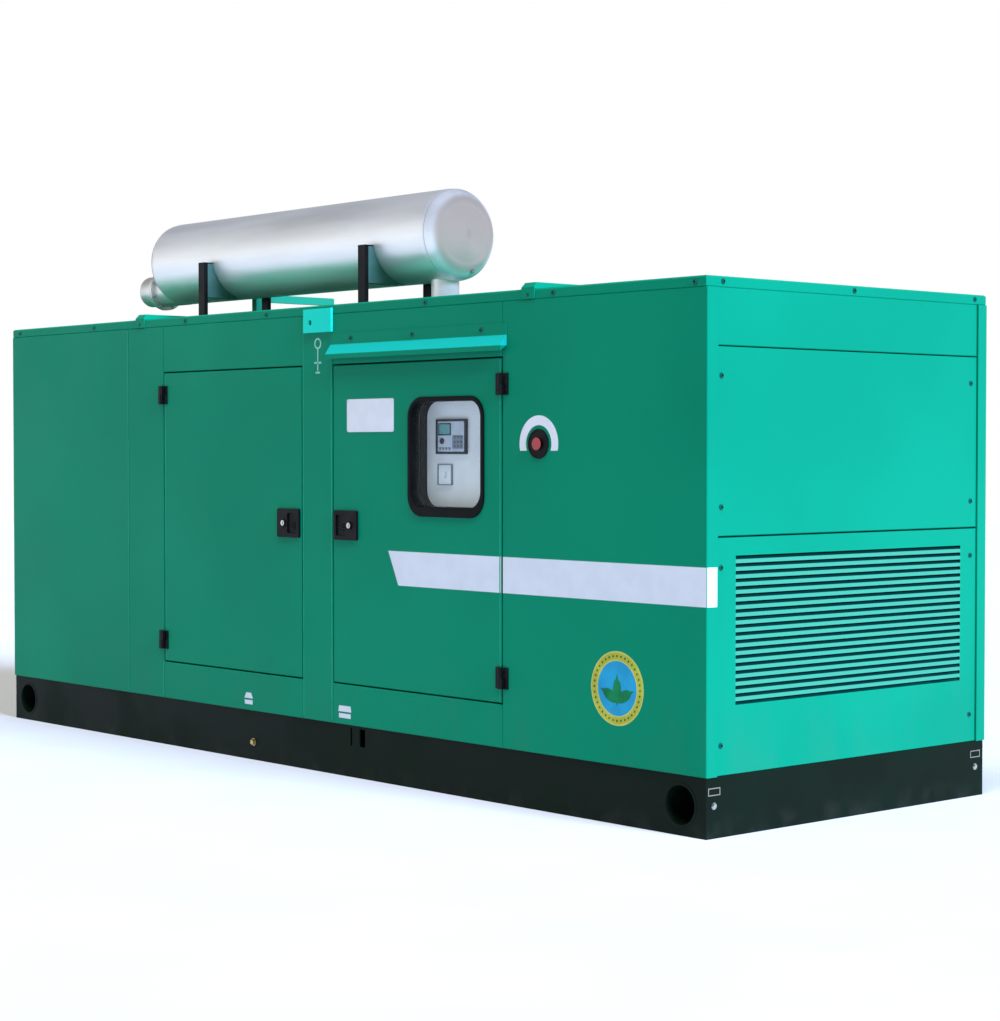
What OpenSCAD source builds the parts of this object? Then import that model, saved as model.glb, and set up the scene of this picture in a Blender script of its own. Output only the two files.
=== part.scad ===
// Silent diesel generator set: a lined canopy on a skid base, with service doors,
// air louvres at both ends and an exhaust silencer on the roof.
// +X is the alternator end, -Y the side with the two service doors, +Z is up.

/* [Enclosure] */
// Length of the set over its end walls
set_l = 4900; // [4500:10:6000]
// Width of the set over its side walls
set_w = 1620; // [1520:10:2000]
// Height of the skid base
base_h = 220; // [180:5:280]
// Height of the canopy on the base, roof included
canopy_h = 1780; // [1760:10:2200]
// Thickness of the lined wall panels
wall_t = 56; // [50:1:70]
// Thickness of the roof panels, which is the depth of their folded edge
roof_t = 40; // [35:1:60]
// Chamfer round a panel, which shows as a seam
seam = 3; // [1:0.5:5]

/* [Side walls] */
// Width of the fixed panel at the alternator end
near_panel_w = 1090; // [1000:10:1400]
// Width of each door opening
door_w = 1092; // [900:1:1200]
// Width of the post between the two doors
post_w = 214; // [180:1:300]
// Width of the strip that carries the left door
strip_w = 304; // [200:1:400]
// Height of the sill under the doors
sill_h = 170; // [120:1:250]
// Height of the door openings
door_h = 1357; // [1200:1:1380]

/* [Doors] */
// Thickness of a door leaf
leaf_t = 42; // [36:1:46]
// Gap between a leaf and its opening
door_gap = 6; // [5:0.5:8]
// Width of the stop strips behind a leaf
stop_w = 60; // [40:1:80]
// Thickness of the stop strips
stop_t = 8; // [6:1:12]
// Largest opening angle of a door
door_swing = 120; // [90:1:120]

/* [Hinges and latches] */
// Height of a hinge
hinge_h = 85; // [70:1:110]
// Width of a hinge
hinge_w = 71; // [60:1:90]
// Distance of a hinge pin from the wall's face
pin_out = 12; // [11:0.5:16]
// Radius of a hinge knuckle
knuckle_r = 10; // [8:0.5:10]
// Radius of a hinge pin
pin_r = 4; // [3:0.5:5]
// Height of the lower hinge above the foot of the opening
hinge_low = 104; // [90:1:200]
// Distance of the upper hinge below the head of the opening
hinge_top = 108; // [90:1:200]
// Width of a latch plate
latch_w = 160; // [130:1:180]
// Height of a latch plate
latch_h = 125; // [100:1:140]
// Height of a latch above the foot of the opening
latch_z = 675; // [500:1:800]

/* [Window] */
// Width over the window's rubber frame
window_w = 472; // [380:1:520]
// Height over the window's rubber frame
window_h = 485; // [380:1:520]
// Corner radius of the rubber frame
window_r = 85; // [60:1:100]
// Width of the rubber frame at its head and sides
rubber_w = 18; // [16:1:30]
// Width of the rubber frame at its foot
rubber_foot = 40; // [16:1:50]
// Height of the window's centre above the foot of the opening
window_z = 965; // [800:1:1000]
// Distance of the window's centre from the hinge side
window_x = 343; // [300:1:500]

/* [Air louvres] */
// Width of a louvre field
field_w = 1306; // [900:2:1340]
// Height of the field's foot above the base
field_z = 235; // [150:1:260]
// Number of louvre slats
slat_count = 20; // [12:1:20]
// Distance from slat to slat
slat_pitch = 27.5; // [24:0.5:28]
// Height of the louvre panels
louvre_panel_h = 856; // [840:1:900]
// Depth of the end panels behind the edges of the side walls
end_recess = 7; // [0:0.5:10]
// Height of the plain panels above them
plain_panel_h = 679; // [500:1:680]
// Gap between the panels of an end wall
panel_gap = 4; // [0:0.5:6]

/* [Silencer] */
// Diameter of the silencer's shell
silencer_d = 392; // [300:1:400]
// Length of the shell
silencer_l = 2205; // [2150:1:2500]
// Distance of the shell's end from the alternator end of the set
silencer_s = 1760; // [1700:1:1800]
// Distance of the silencer's axis from the door side
silencer_w = 396; // [370:1:430]
// Height of the silencer's axis above the roof
silencer_z = 295; // [280:1:330]
// Diameter of the inlet pipe
inlet_d = 120; // [90:1:140]
// Distance of the inlet pipe from the shell's end
inlet_s = 147; // [147:1:200]
// Diameter of the outlet pipe
outlet_d = 150; // [110:1:160]
// Wall of the outlet pipe
outlet_t = 3; // [2:0.5:5]
// Width of a silencer leg along the shell
leg_w = 48; // [40:1:80]
// Depth of a leg's folded edges
leg_d = 20; // [15:1:40]
// Space between the shell's side and the face of a front leg
leg_out = 46; // [42:1:70]

/* [Lifting] */
// Diameter of the lifting tubes through the base
tube_d = 160; // [120:1:165]
// Wall of a lifting tube
tube_t = 8; // [6:1:12]
// Distance of a lifting tube from the end of the set
tube_s = 134; // [120:1:200]
// Width of the roof lifting frame
bail_w = 474; // [400:1:500]
// Height of the roof lifting frame
bail_h = 140; // [100:1:150]
// Width of its square bars
bail_bar = 36; // [28:1:45]

/* [Hidden] */
$fn = 48;

// Colours
green = [0.0, 0.47, 0.37];
bright_green = [0.05, 0.62, 0.52];
base_black = [0.09, 0.13, 0.12];
black = [0.05, 0.05, 0.05];
silver = [0.72, 0.73, 0.74];
rubber_black = [0.04, 0.04, 0.04];
cabinet_grey = [0.85, 0.86, 0.85];
machine_green = [0.12, 0.3, 0.28];

// Clearances
fit = 0.3;
run_fit = 0.06;
eps = 1;

// Heights
canopy_top = base_h + canopy_h;
wall_top = canopy_top - roof_t;
door_z0 = base_h + sill_h;
door_z1 = door_z0 + door_h;

// Stations along the side walls, measured as x
x_near = set_l / 2;
x_hinge_r = x_near - near_panel_w;
x_free_r = x_hinge_r - door_w;
x_free_l = x_free_r - post_w;
x_hinge_l = x_free_l - door_w;
x_strip = x_hinge_l - strip_w;
x_far = -set_l / 2;
y_front = -set_w / 2;
y_inner = y_front + wall_t;

// Base frame
base_inset = 6;
rail_d = 90;
rail_web = 8;
rail_flange = 12;
base_l = set_l - 2 * base_inset;
base_w = set_w - 2 * base_inset;
cross_w = 100;
cross_x = [-1600, -800, 0, 800, 1600];
tube_z = base_h / 2;
cable_slots = [[463, 38], [388, 12]];
cable_slot_h = 75;

// Roof and roof fittings
joint_x = [x_hinge_r + 150, x_hinge_l - 196];
cap_w = 75;
cap_h = 25;
tab_t = 4;
tab_h = roof_t - 2;

// Window
lip_w = 12;
window_hole_w = window_w - 2 * lip_w;
window_hole_h = window_h - 2 * lip_w;
window_hole_r = window_r - lip_w;
lip_t = 6;
pane_w = window_w - 2 * rubber_w;
pane_h = window_h - rubber_w - rubber_foot;
pane_r = window_r - rubber_w;
pane_t = 6;
x_window = x_hinge_r - window_x;
z_window = door_z0 + window_z;
z_pane = z_window + (rubber_foot - rubber_w) / 2;

// Silencer
silencer_r = silencer_d / 2;
x_sil = x_near - silencer_s;
y_sil = y_front + silencer_w;
z_sil = canopy_top + silencer_z;
x_inlet = x_sil - inlet_s;
x_outlet = x_sil - silencer_l - 108;
z_outlet = z_sil - silencer_r + outlet_d / 2 + 1;
outlet_l = 122;
saddle_x = [x_sil - 418, x_sil - 1638];
saddle_top = 262;
saddle_t = 6;
y_leg_front = y_sil - silencer_r - leg_out;
y_leg_back = y_sil + 120;
head_r = 75;
crown = 12;
riser_top = wall_top - 18;

// Machine inside the canopy
z_shaft = base_h + 560;
x_coupling = x_inlet - 24;
x_engine_front = x_coupling - 1300;
x_radiator = x_coupling - 2150;
x_fan = x_radiator + 490;
z_fan = z_shaft + 200;
fan_r = 430;
shroud_l = 420;
y_manifold = -255;
z_manifold = 385;
y_turbo = -400;
y_turbo_flange = -305;
z_riser = z_shaft + 550;
y_cabinet = y_front + 84;

// ---- Shapes that repeat ----

// Slab with its outer face on y = 0, its length along x and a chamfer round that face
module slab(l, h, t, c = seam) {
    intersection() {
        linear_extrude(h) polygon([[0, t], [0, c], [c, 0], [l - c, 0], [l, c], [l, t]]);
        rotate([90, 0, 90]) linear_extrude(l)
            polygon([[t, 0], [c, 0], [0, c], [0, h - c], [c, h], [t, h]]);
    }
}

// Wall slab on the door side, between two stations and two heights
module side_slab(x0, x1, z0, z1, t = wall_t) {
    translate([x0, y_front, z0]) slab(x1 - x0, z1 - z0, t);
}

// Places a piece drawn for the door side on the end wall that faces along sign * x
module at_end(sign) {
    rotate([0, 0, sign * 90]) translate([0, end_recess - set_l / 2, 0]) children();
}

// Rectangle with round corners, centred
module round_rect(w, h, r) {
    square([w - 2 * r, h], center = true);
    square([w, h - 2 * r], center = true);
    for (sx = [-1, 1], sz = [-1, 1]) translate([sx * (w / 2 - r), sz * (h / 2 - r)]) circle(r);
}

// Stands a flat drawing up on the door side, its x along x and its y along z
module on_face(x, y, z, t) {
    translate([x, y + t, z]) rotate([90, 0, 0]) linear_extrude(t) children();
}

// Straight round bar along x, y or z
module bar_x(r, l) { rotate([0, 90, 0]) cylinder(r = r, h = l); }
module bar_y(r, l) { rotate([-90, 0, 0]) cylinder(r = r, h = l); }

// ---- Base ----

module channel(l) {
    rotate([90, 0, 90]) linear_extrude(l) polygon([[0, 0], [rail_d, 0], [rail_d, rail_flange],
        [rail_web, rail_flange], [rail_web, base_h - rail_flange], [rail_d, base_h - rail_flange],
        [rail_d, base_h], [0, base_h]]);
}

// Channel along x with its web outwards and its ends cut to a mitre
module mitred_channel(l) {
    intersection() {
        channel(l);
        linear_extrude(base_h) polygon([[0, 0], [l, 0], [l - rail_d, rail_d], [rail_d, rail_d]]);
    }
}

module base_rail(sign) {
    difference() {
        rotate([0, 0, sign > 0 ? 180 : 0]) translate([-base_l / 2, -base_w / 2, 0]) mitred_channel(base_l);
        for (sx = [-1, 1])
            translate([sx * (x_near - tube_s), -set_w, tube_z]) bar_y(tube_d / 2 + fit, 2 * set_w);
    }
}

// Rail under the doors, with a slot below the sill for the power cables
module base_rail_front() {
    color(base_black) difference() {
        base_rail(-1);
        for (s = cable_slots)
            translate([s[0] - s[1] / 2, -base_w / 2 - eps, base_h - rail_flange - cable_slot_h])
                cube([s[1], rail_web + 2 * eps, cable_slot_h]);
    }
}

module base_rail_back() { color(base_black) base_rail(1); }

module base_ends() {
    color(base_black) for (sign = [-1, 1])
        rotate([0, 0, sign * 90]) translate([-base_w / 2, -base_l / 2, 0]) mitred_channel(base_w);
}

module base_cross_members() {
    w = cross_w;
    h = base_h - rail_flange;
    t = 10;
    color(base_black) for (x = cross_x)
        translate([x, base_w / 2 - rail_d, 0]) rotate([90, 0, 0]) linear_extrude(base_w - 2 * rail_d) {
            translate([-w / 2, 0]) square([w, t]);
            translate([-w / 2, h - t]) square([w, t]);
            translate([-t / 2, 0]) square([t, h]);
        }
}

module lifting_tubes() {
    color(base_black) for (sx = [-1, 1]) translate([sx * (x_near - tube_s), -base_w / 2 - 2, tube_z])
        difference() {
            bar_y(tube_d / 2, base_w + 4);
            translate([0, -eps, 0]) bar_y(tube_d / 2 - tube_t, base_w + 4 + 2 * eps);
        }
}

module base_floor() {
    color(base_black) translate([-base_l / 2 + rail_d, -base_w / 2 + rail_d, base_h - rail_flange])
        cube([base_l - 2 * rail_d, base_w - 2 * rail_d, rail_flange]);
}

// ---- Side walls ----

module front_panel_near() {
    color(green) difference() {
        side_slab(x_hinge_r, x_near, base_h, wall_top);
        on_face(x_estop, y_front - eps, z_estop, estop_body + fit + eps) circle(r = estop_body_r + fit);
    }
}

module front_post() { color(green) side_slab(x_free_l, x_free_r, base_h, wall_top); }
module front_strip() { color(green) side_slab(x_strip, x_hinge_l, base_h, wall_top); }
module front_panel_far() { color(green) side_slab(x_far, x_strip, base_h, wall_top); }

module headers() {
    side_slab(x_free_r, x_hinge_r, door_z1, wall_top);
    side_slab(x_hinge_l, x_free_l, door_z1, wall_top);
}

module sills() {
    side_slab(x_free_r, x_hinge_r, base_h, door_z0);
    side_slab(x_hinge_l, x_free_l, base_h, door_z0);
}

module front_headers() { color(green) headers(); }
module front_sills() { color(green) sills(); }

module back_panels() {
    color(green) mirror([0, 1, 0]) {
        side_slab(x_hinge_r, x_near, base_h, wall_top);
        side_slab(x_free_l, x_free_r, base_h, wall_top);
        side_slab(x_strip, x_hinge_l, base_h, wall_top);
        side_slab(x_far, x_strip, base_h, wall_top);
    }
}

module back_headers_sills() {
    color(green) mirror([0, 1, 0]) {
        headers();
        sills();
    }
}

// Flat strips round the inside of a door opening, which a leaf closes against
module stop_frame(x0, x1) {
    lap = stop_w / 2;
    gap = eps;
    for (x = [x0 - lap, x1 - lap]) translate([x, y_inner, door_z0 - lap])
        cube([stop_w, stop_t, door_h + 2 * lap]);
    for (z = [door_z0 - lap, door_z1 - lap]) translate([x0 + lap + gap, y_inner, z])
        cube([x1 - x0 - 2 * lap - 2 * gap, stop_t, stop_w]);
}

module door_stops() {
    color(black) {
        stop_frame(x_free_r, x_hinge_r);
        stop_frame(x_hinge_l, x_free_l);
    }
}

// ---- Doors ----

module leaf(x0, x1) {
    side_slab(x0 + door_gap, x1 - door_gap, door_z0 + door_gap, door_z1 - door_gap, leaf_t);
}

module hinge_heights() {
    for (z = [door_z0 + hinge_low, door_z1 - hinge_top]) translate([0, 0, z]) children();
}

// Half of a hinge: side = 1 reaches to +x; the half on the wall holds the pin
module hinge_half(side, fixed) {
    plate_t = 6;
    gap = knuckle_r + 1.5;
    half = hinge_h / 2;
    z0 = fixed ? -half : fit;
    y_plate = pin_out - plate_t;
    mirror([side > 0 ? 0 : 1, 0, 0]) {
        translate([gap, y_plate, -half]) cube([hinge_w / 2 - gap, plate_t, hinge_h]);
        difference() {
            union() {
                translate([0, 0, z0]) cylinder(r = knuckle_r, h = half - fit);
                translate([0, -knuckle_r + 2, z0]) cube([gap, plate_t, half - fit]);
                translate([gap - 4, -knuckle_r + 2, z0])
                    cube([8, y_plate + knuckle_r - 2 + plate_t, half - fit]);
            }
            if (!fixed) translate([0, 0, -eps]) cylinder(r = pin_r + run_fit, h = half - 6);
        }
        if (fixed) translate([0, 0, -half]) cylinder(r = pin_r, h = 2 * half - 10);
    }
}

module hinge_brackets() {
    color(black) hinge_heights() {
        translate([x_hinge_r, y_front - pin_out, 0]) hinge_half(1, true);
        translate([x_hinge_l, y_front - pin_out, 0]) hinge_half(-1, true);
    }
}

module door_right_hinges() {
    color(black) hinge_heights() translate([x_hinge_r, y_front - pin_out, 0]) hinge_half(-1, false);
}

module door_left_hinges() {
    color(black) hinge_heights() translate([x_hinge_l, y_front - pin_out, 0]) hinge_half(1, false);
}

// Paddle latch: a plate with a finger pocket, its paddle and a key cylinder
module latch() {
    t = 10;
    pocket_w = latch_w * 0.42;
    pocket_h = latch_h - 36;
    on_face(0, -t, 0, t) difference() {
        round_rect(latch_w, latch_h, 10);
        translate([-latch_w * 0.18, 0]) round_rect(pocket_w, pocket_h, 8);
    }
    on_face(-latch_w * 0.18, -3, 0, 3) round_rect(pocket_w - 2 * fit, pocket_h - 2 * fit, 8 - fit);
    translate([latch_w * 0.2, -t - 5, 0]) bar_y(16, 5);
}

module door_right_latch() {
    color(black) translate([x_free_r + 17 + latch_w / 2, y_front, door_z0 + latch_z]) latch();
}

module door_left_latch() {
    color(black) translate([x_free_l - 16 - latch_w / 2, y_front, door_z0 + latch_z])
        mirror([1, 0, 0]) latch();
}

module door_right() {
    color(green) difference() {
        leaf(x_free_r, x_hinge_r);
        on_face(x_window, y_front - eps, z_window, leaf_t + 2 * eps)
            round_rect(window_hole_w, window_hole_h, window_hole_r);
    }
}

module door_left() { color(green) leaf(x_hinge_l, x_free_l); }

module window_rubber() {
    color(rubber_black) difference() {
        union() {
            on_face(x_window, y_front - lip_t, z_window, lip_t) round_rect(window_w, window_h, window_r);
            on_face(x_window, y_front, z_window, leaf_t)
                round_rect(window_hole_w - 2 * fit, window_hole_h - 2 * fit, window_hole_r - fit);
        }
        on_face(x_window, y_front - lip_t - eps, z_pane, leaf_t + lip_t + 2 * eps)
            round_rect(pane_w, pane_h, pane_r);
    }
}

module window_pane() {
    color([0.8, 0.9, 0.9, 0.4]) on_face(x_window, y_front + 8, z_pane, pane_t)
        round_rect(pane_w - 2 * fit, pane_h - 2 * fit, pane_r - fit);
}

module back_doors() {
    color(green) mirror([0, 1, 0]) {
        leaf(x_free_r, x_hinge_r);
        leaf(x_hinge_l, x_free_l);
    }
}

module back_door_fittings() {
    color(black) mirror([0, 1, 0]) {
        hinge_heights() for (p = [[x_hinge_r, 1], [x_hinge_l, -1]])
            translate([p[0], y_front - pin_out, 0]) {
                hinge_half(p[1], true);
                hinge_half(-p[1], false);
            }
        translate([x_free_r + 17 + latch_w / 2, y_front, door_z0 + latch_z]) latch();
        translate([x_free_l - 16 - latch_w / 2, y_front, door_z0 + latch_z]) mirror([1, 0, 0]) latch();
    }
}

// ---- End walls ----

end_w = set_w - 2 * wall_t;
end_z1 = base_h + louvre_panel_h;
end_z2 = end_z1 + plain_panel_h;

module end_slab(sign, z0, z1) {
    at_end(sign) translate([-end_w / 2, 0, z0]) slab(end_w, z1 - z0, wall_t);
}

// Rain-shedding slat: an upright lip at the outer face and a blade that slopes up inwards
module slat(l) {
    lip = 13;
    t = 3;
    depth = 30;
    rise = 22;
    rotate([90, 0, 90]) linear_extrude(l)
        polygon([[0, 0], [t, 0], [t, lip - t], [depth, lip + rise - t], [depth, lip + rise], [0, lip]]);
}

module louvre_panel(sign) {
    field_h = slat_count * slat_pitch;
    at_end(sign) {
        difference() {
            translate([-end_w / 2, 0, base_h]) slab(end_w, louvre_panel_h - panel_gap, wall_t);
            translate([-field_w / 2, -eps, base_h + field_z]) cube([field_w, wall_t + 2 * eps, field_h]);
        }
        for (i = [0 : slat_count - 1])
            translate([-field_w / 2 - eps, 0, base_h + field_z + i * slat_pitch]) slat(field_w + 2 * eps);
    }
}

module end_headers() { color(green) for (sign = [-1, 1]) end_slab(sign, end_z2, wall_top); }
module near_plain_panel() { color(green) end_slab(1, end_z1, end_z2 - panel_gap); }
module near_louvre_panel() { color(green) louvre_panel(1); }
module far_plain_panel() { color(green) end_slab(-1, end_z1, end_z2 - panel_gap); }
module far_louvre_panel() { color(green) louvre_panel(-1); }

// ---- Roof ----

module roof_panel(x0, x1, near_edge, far_edge) {
    c = seam;
    e = 6;
    l = x1 - x0;
    translate([x0, 0, wall_top]) intersection() {
        rotate([90, 0, 90]) linear_extrude(l) polygon([[y_front + c, 0], [-y_front - c, 0],
            [-y_front, c], [-y_front, roof_t - e], [-y_front - e, roof_t], [y_front + e, roof_t],
            [y_front, roof_t - e], [y_front, c]]);
        translate([0, set_w, 0]) rotate([90, 0, 0]) linear_extrude(2 * set_w) polygon(concat(
            far_edge ? [[e, roof_t], [0, roof_t - e], [0, c], [c, 0]] : [[0, roof_t], [0, 0]],
            near_edge ? [[l - c, 0], [l, c], [l, roof_t - e], [l - e, roof_t]] : [[l, 0], [l, roof_t]]));
    }
}

module roof_near() { color(green) roof_panel(joint_x[0], x_near - end_recess, true, false); }
module roof_far() { color(green) roof_panel(x_far + end_recess, joint_x[1], false, true); }

module roof_middle() {
    color(green) difference() {
        roof_panel(joint_x[1], joint_x[0], false, false);
        translate([x_inlet, y_sil, wall_top - eps]) cylinder(d = inlet_d + 2 * fit, h = roof_t + 2 * eps);
    }
}

// Hat strip over a roof joint, bevelled at its ends, with a tab on each edge of the roof
module roof_joint_caps() {
    b = 12;
    color(green) for (x = joint_x) translate([x, 0, canopy_top]) {
        intersection() {
            translate([0, set_w, 0]) rotate([90, 0, 0]) linear_extrude(2 * set_w)
                polygon([[-cap_w / 2, 0], [cap_w / 2, 0], [cap_w / 2 - 6, cap_h], [-cap_w / 2 + 6, cap_h]]);
            rotate([90, 0, 90]) translate([0, 0, -cap_w / 2]) linear_extrude(cap_w)
                polygon([[y_front - tab_t, 0], [-y_front + tab_t, 0], [-y_front + tab_t, 6],
                    [-y_front - b, cap_h], [y_front + b, cap_h], [y_front - tab_t, 6]]);
        }
        for (s = [-1, 1]) translate([-cap_w / 2, s > 0 ? -y_front : y_front - tab_t, -tab_h])
            cube([cap_w, tab_t, tab_h + 1]);
    }
}

// Folded hood over the right door: wall flange, slope and drip lip, closed at both ends
module rain_hood() {
    t = 3;
    reach = 32;
    x0 = x_free_r - 10;
    x1 = x_hinge_r + 24;
    zl = 21;
    zs = 41;
    zr = 82;
    zf = 130;
    color(bright_green) translate([x0, y_front, door_z1]) {
        rotate([90, 0, 90]) linear_extrude(x1 - x0)
            polygon([[0, zf], [-t, zf], [-t, zr], [-reach, zs], [-reach, zl], [-reach + t, zl],
                [-reach + t, zs - 1], [0, zr - 3]]);
        for (x = [0, x1 - x0 - t]) translate([x, 0, 0]) rotate([90, 0, 90]) linear_extrude(t)
            polygon([[0, zl + 20], [-reach, zl], [-reach, zs], [0, zr]]);
    }
}

// Plate with an eye, bolted over the edge of the roof
module lifting_plate() {
    t = 12;
    w = post_w - 18;
    h = 101;
    on_face((x_free_l + x_free_r) / 2 + 14, y_front - t, canopy_top - 14 - h / 2, t) difference() {
        square([w, h], center = true);
        translate([48 - w / 2, -7]) circle(12);
    }
}

module lifting_plates() {
    color(bright_green) {
        lifting_plate();
        mirror([0, 1, 0]) lifting_plate();
    }
}

// Outline of the lifting portal, standing on y = 0
module portal_outline(w, h, r) {
    translate([-w / 2, 0]) square([w, h - r]);
    translate([-w / 2 + r, 0]) square([w - 2 * r, h]);
    for (s = [-1, 1]) translate([s * (w / 2 - r), h - r]) circle(r);
}

module roof_lifting_frame() {
    r_out = 8;
    r_in = 4;
    x = x_near - 3565;
    foot_l = 96;
    foot_w = 60;
    foot_t = 8;
    color(bright_green) {
        translate([x - bail_bar / 2, 0, canopy_top]) rotate([90, 0, 90]) linear_extrude(bail_bar)
            difference() {
                portal_outline(bail_w, bail_h, r_out);
                translate([0, -eps]) portal_outline(bail_w - 2 * bail_bar, bail_h - bail_bar + eps, r_in);
            }
        for (s = [-1, 1])
            translate([x - foot_l / 2, s * (bail_w - bail_bar) / 2 - foot_w / 2, canopy_top])
                cube([foot_l, foot_w, foot_t]);
    }
}

// ---- Silencer ----

// Half of the shell's section, grown by g: a straight barrel with dished heads that turn in
// at a knuckle
module shell_section(g) {
    flat_r = silencer_r - head_r;
    crown_r = (flat_r * flat_r + crown * crown) / (2 * crown);
    translate([0, head_r + crown]) square([silencer_r + g, silencer_l - 2 * (head_r + crown)]);
    translate([0, crown - g]) square([flat_r, silencer_l - 2 * crown + 2 * g]);
    for (y = [head_r + crown, silencer_l - head_r - crown]) translate([flat_r, y]) circle(head_r + g);
    intersection() {
        translate([0, crown_r]) circle(crown_r + g, $fn = 180);
        translate([0, -g]) square([flat_r, silencer_l / 2]);
    }
    intersection() {
        translate([0, silencer_l - crown_r]) circle(crown_r + g, $fn = 180);
        translate([0, silencer_l / 2]) square([flat_r, silencer_l / 2 + g]);
    }
}

module shell_body(g) {
    translate([x_sil, y_sil, z_sil]) rotate([0, -90, 0]) rotate_extrude($fn = 64) shell_section(g);
}

module silencer_shell() { color(silver) shell_body(0); }

// Space that a pipe or a saddle leaves for the shell
module shell_room() {
    translate([x_sil + eps, y_sil, z_sil]) rotate([0, -90, 0])
        cylinder(r = silencer_r + fit, h = silencer_l + 2 * eps, $fn = 64);
}

module silencer_inlet() {
    flange_t = 12;
    color(silver) difference() {
        union() {
            translate([x_inlet, y_sil, riser_top]) cylinder(d = inlet_d, h = z_sil - riser_top);
            translate([x_inlet, y_sil, canopy_top]) cylinder(d = inlet_d + 80, h = flange_t);
        }
        shell_room();
    }
}

// Outlet: a neck straight out of the far head, low down, then a pair of flanges and the pipe
module silencer_outlet() {
    flange_t = 12;
    gasket_t = 2;
    rim = 22;
    r = outlet_d / 2;
    l_joint = x_sil - silencer_l - x_outlet + head_r + crown + 10;
    color(silver) difference() {
        translate([x_outlet + l_joint, y_sil, z_outlet]) rotate([0, -90, 0]) rotate_extrude() {
            translate([r, 0]) square([outlet_t, l_joint]);
            translate([r - outlet_t, l_joint]) square([outlet_t, outlet_l]);
            for (l = [l_joint - gasket_t / 2 - flange_t, l_joint + gasket_t / 2])
                translate([r - eps, l]) square([rim, flange_t]);
            translate([r - eps, l_joint - gasket_t]) square([rim - 8, 2 * gasket_t]);
        }
        shell_body(fit);
    }
}

// Folded leg: a face towards -y with an edge turned back on either side, its foot on z = 0
module leg(h) {
    t = saddle_t;
    foot = 20;
    translate([-leg_w / 2, 0, 0]) cube([leg_w, t, h]);
    for (x = [-leg_w / 2, leg_w / 2 - t]) translate([x, 0, 0]) cube([t, leg_d, h]);
    translate([-leg_w / 2, -foot, 0]) cube([leg_w, leg_d + 2 * foot, t]);
}

// Pair of legs under the shell: the front one stands beside it and has a cap that reaches it
module silencer_saddles() {
    color(black) for (x = saddle_x) difference() {
        union() {
            translate([x, y_leg_front, canopy_top]) {
                leg(saddle_top);
                translate([-leg_w / 2, 0, saddle_top - saddle_t]) cube([leg_w, silencer_r, saddle_t]);
            }
            translate([x, y_leg_back, canopy_top]) leg(silencer_z);
        }
        shell_room();
    }
}

// Plates between the front legs and the shell, cut to its curve
module saddle_webs() {
    web_t = 6;
    z_foot = silencer_z - silencer_r;
    color(silver) for (x = saddle_x, s = [-1, 1]) difference() {
        translate([x + s * (leg_w - web_t) / 2 - web_t / 2, y_leg_front + leg_d, canopy_top + z_foot])
            cube([web_t, silencer_r, saddle_top - saddle_t - z_foot]);
        shell_room();
    }
}

// ---- Emergency stop ----

x_estop = x_near - 881;
z_estop = base_h + 1186;
estop_w = 114;
estop_t = 4;
estop_body = 30;
estop_body_r = 15;
estop_stem_r = 9;

// Round plate on the wall, with the switch's body in a hole behind it
module estop_housing() {
    color(black) difference() {
        union() {
            on_face(x_estop, y_front - estop_t, z_estop, estop_t) circle(d = estop_w);
            on_face(x_estop, y_front, z_estop, estop_body) circle(r = estop_body_r);
        }
        on_face(x_estop, y_front - estop_t - eps, z_estop, estop_body) circle(r = estop_stem_r + run_fit);
    }
}

module estop_button() {
    stem_l = 18;
    color("red") translate([x_estop, y_front - estop_t - 5, z_estop]) rotate([90, 0, 0]) {
        translate([0, 0, -stem_l]) cylinder(r = estop_stem_r, h = stem_l + eps);
        rotate_extrude() polygon([[0, 0], [19, 0], [24, 3], [24, 5], [21, 7.5], [0, 9]]);
    }
}

// ---- Machine inside ----

module control_cabinet() {
    w = window_w + 150;
    h = window_h + 330;
    d = 240;
    leg = 50;
    z0 = z_window - h / 2 - 40;
    color(cabinet_grey) {
        translate([x_window - w / 2, y_cabinet, z0]) slab(w, h, d);
        for (s = [-1, 1]) translate([x_window + s * (w / 2 - leg) - leg / 2, y_cabinet + 60, base_h])
            cube([leg, leg, z0 - base_h]);
    }
}

// Sheet-metal tunnel on the cabinet that meets the window when the door is shut
module cabinet_bezel() {
    t = 4;
    flange = 24;
    flange_t = 3;
    y0 = y_front + leaf_t + 7;
    color(black) difference() {
        union() {
            on_face(x_window, y0, z_pane, y_cabinet - y0)
                round_rect(pane_w + 2 * t, pane_h + 2 * t, pane_r + t);
            on_face(x_window, y_cabinet - flange_t, z_pane, flange_t)
                round_rect(pane_w + 2 * flange, pane_h + 2 * flange, pane_r + flange);
        }
        on_face(x_window, y0 - eps, z_pane, y_cabinet - y0 + 2 * eps) round_rect(pane_w, pane_h, pane_r);
    }
}

// Body of revolution about an axis along x, from points [distance along x, radius]
module turned_x(points) {
    rotate([0, 90, 0]) rotate_extrude() polygon([for (p = points) [p[1], p[0]]]);
}

// Bar along x whose section is symmetric about z, from the points [y, z] of one half
module section_x(l, half) {
    n = len(half);
    rotate([90, 0, 90]) linear_extrude(l)
        polygon(concat(half, [for (i = [n - 1 : -1 : 0]) [-half[i][0], half[i][1]]]));
}

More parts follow.
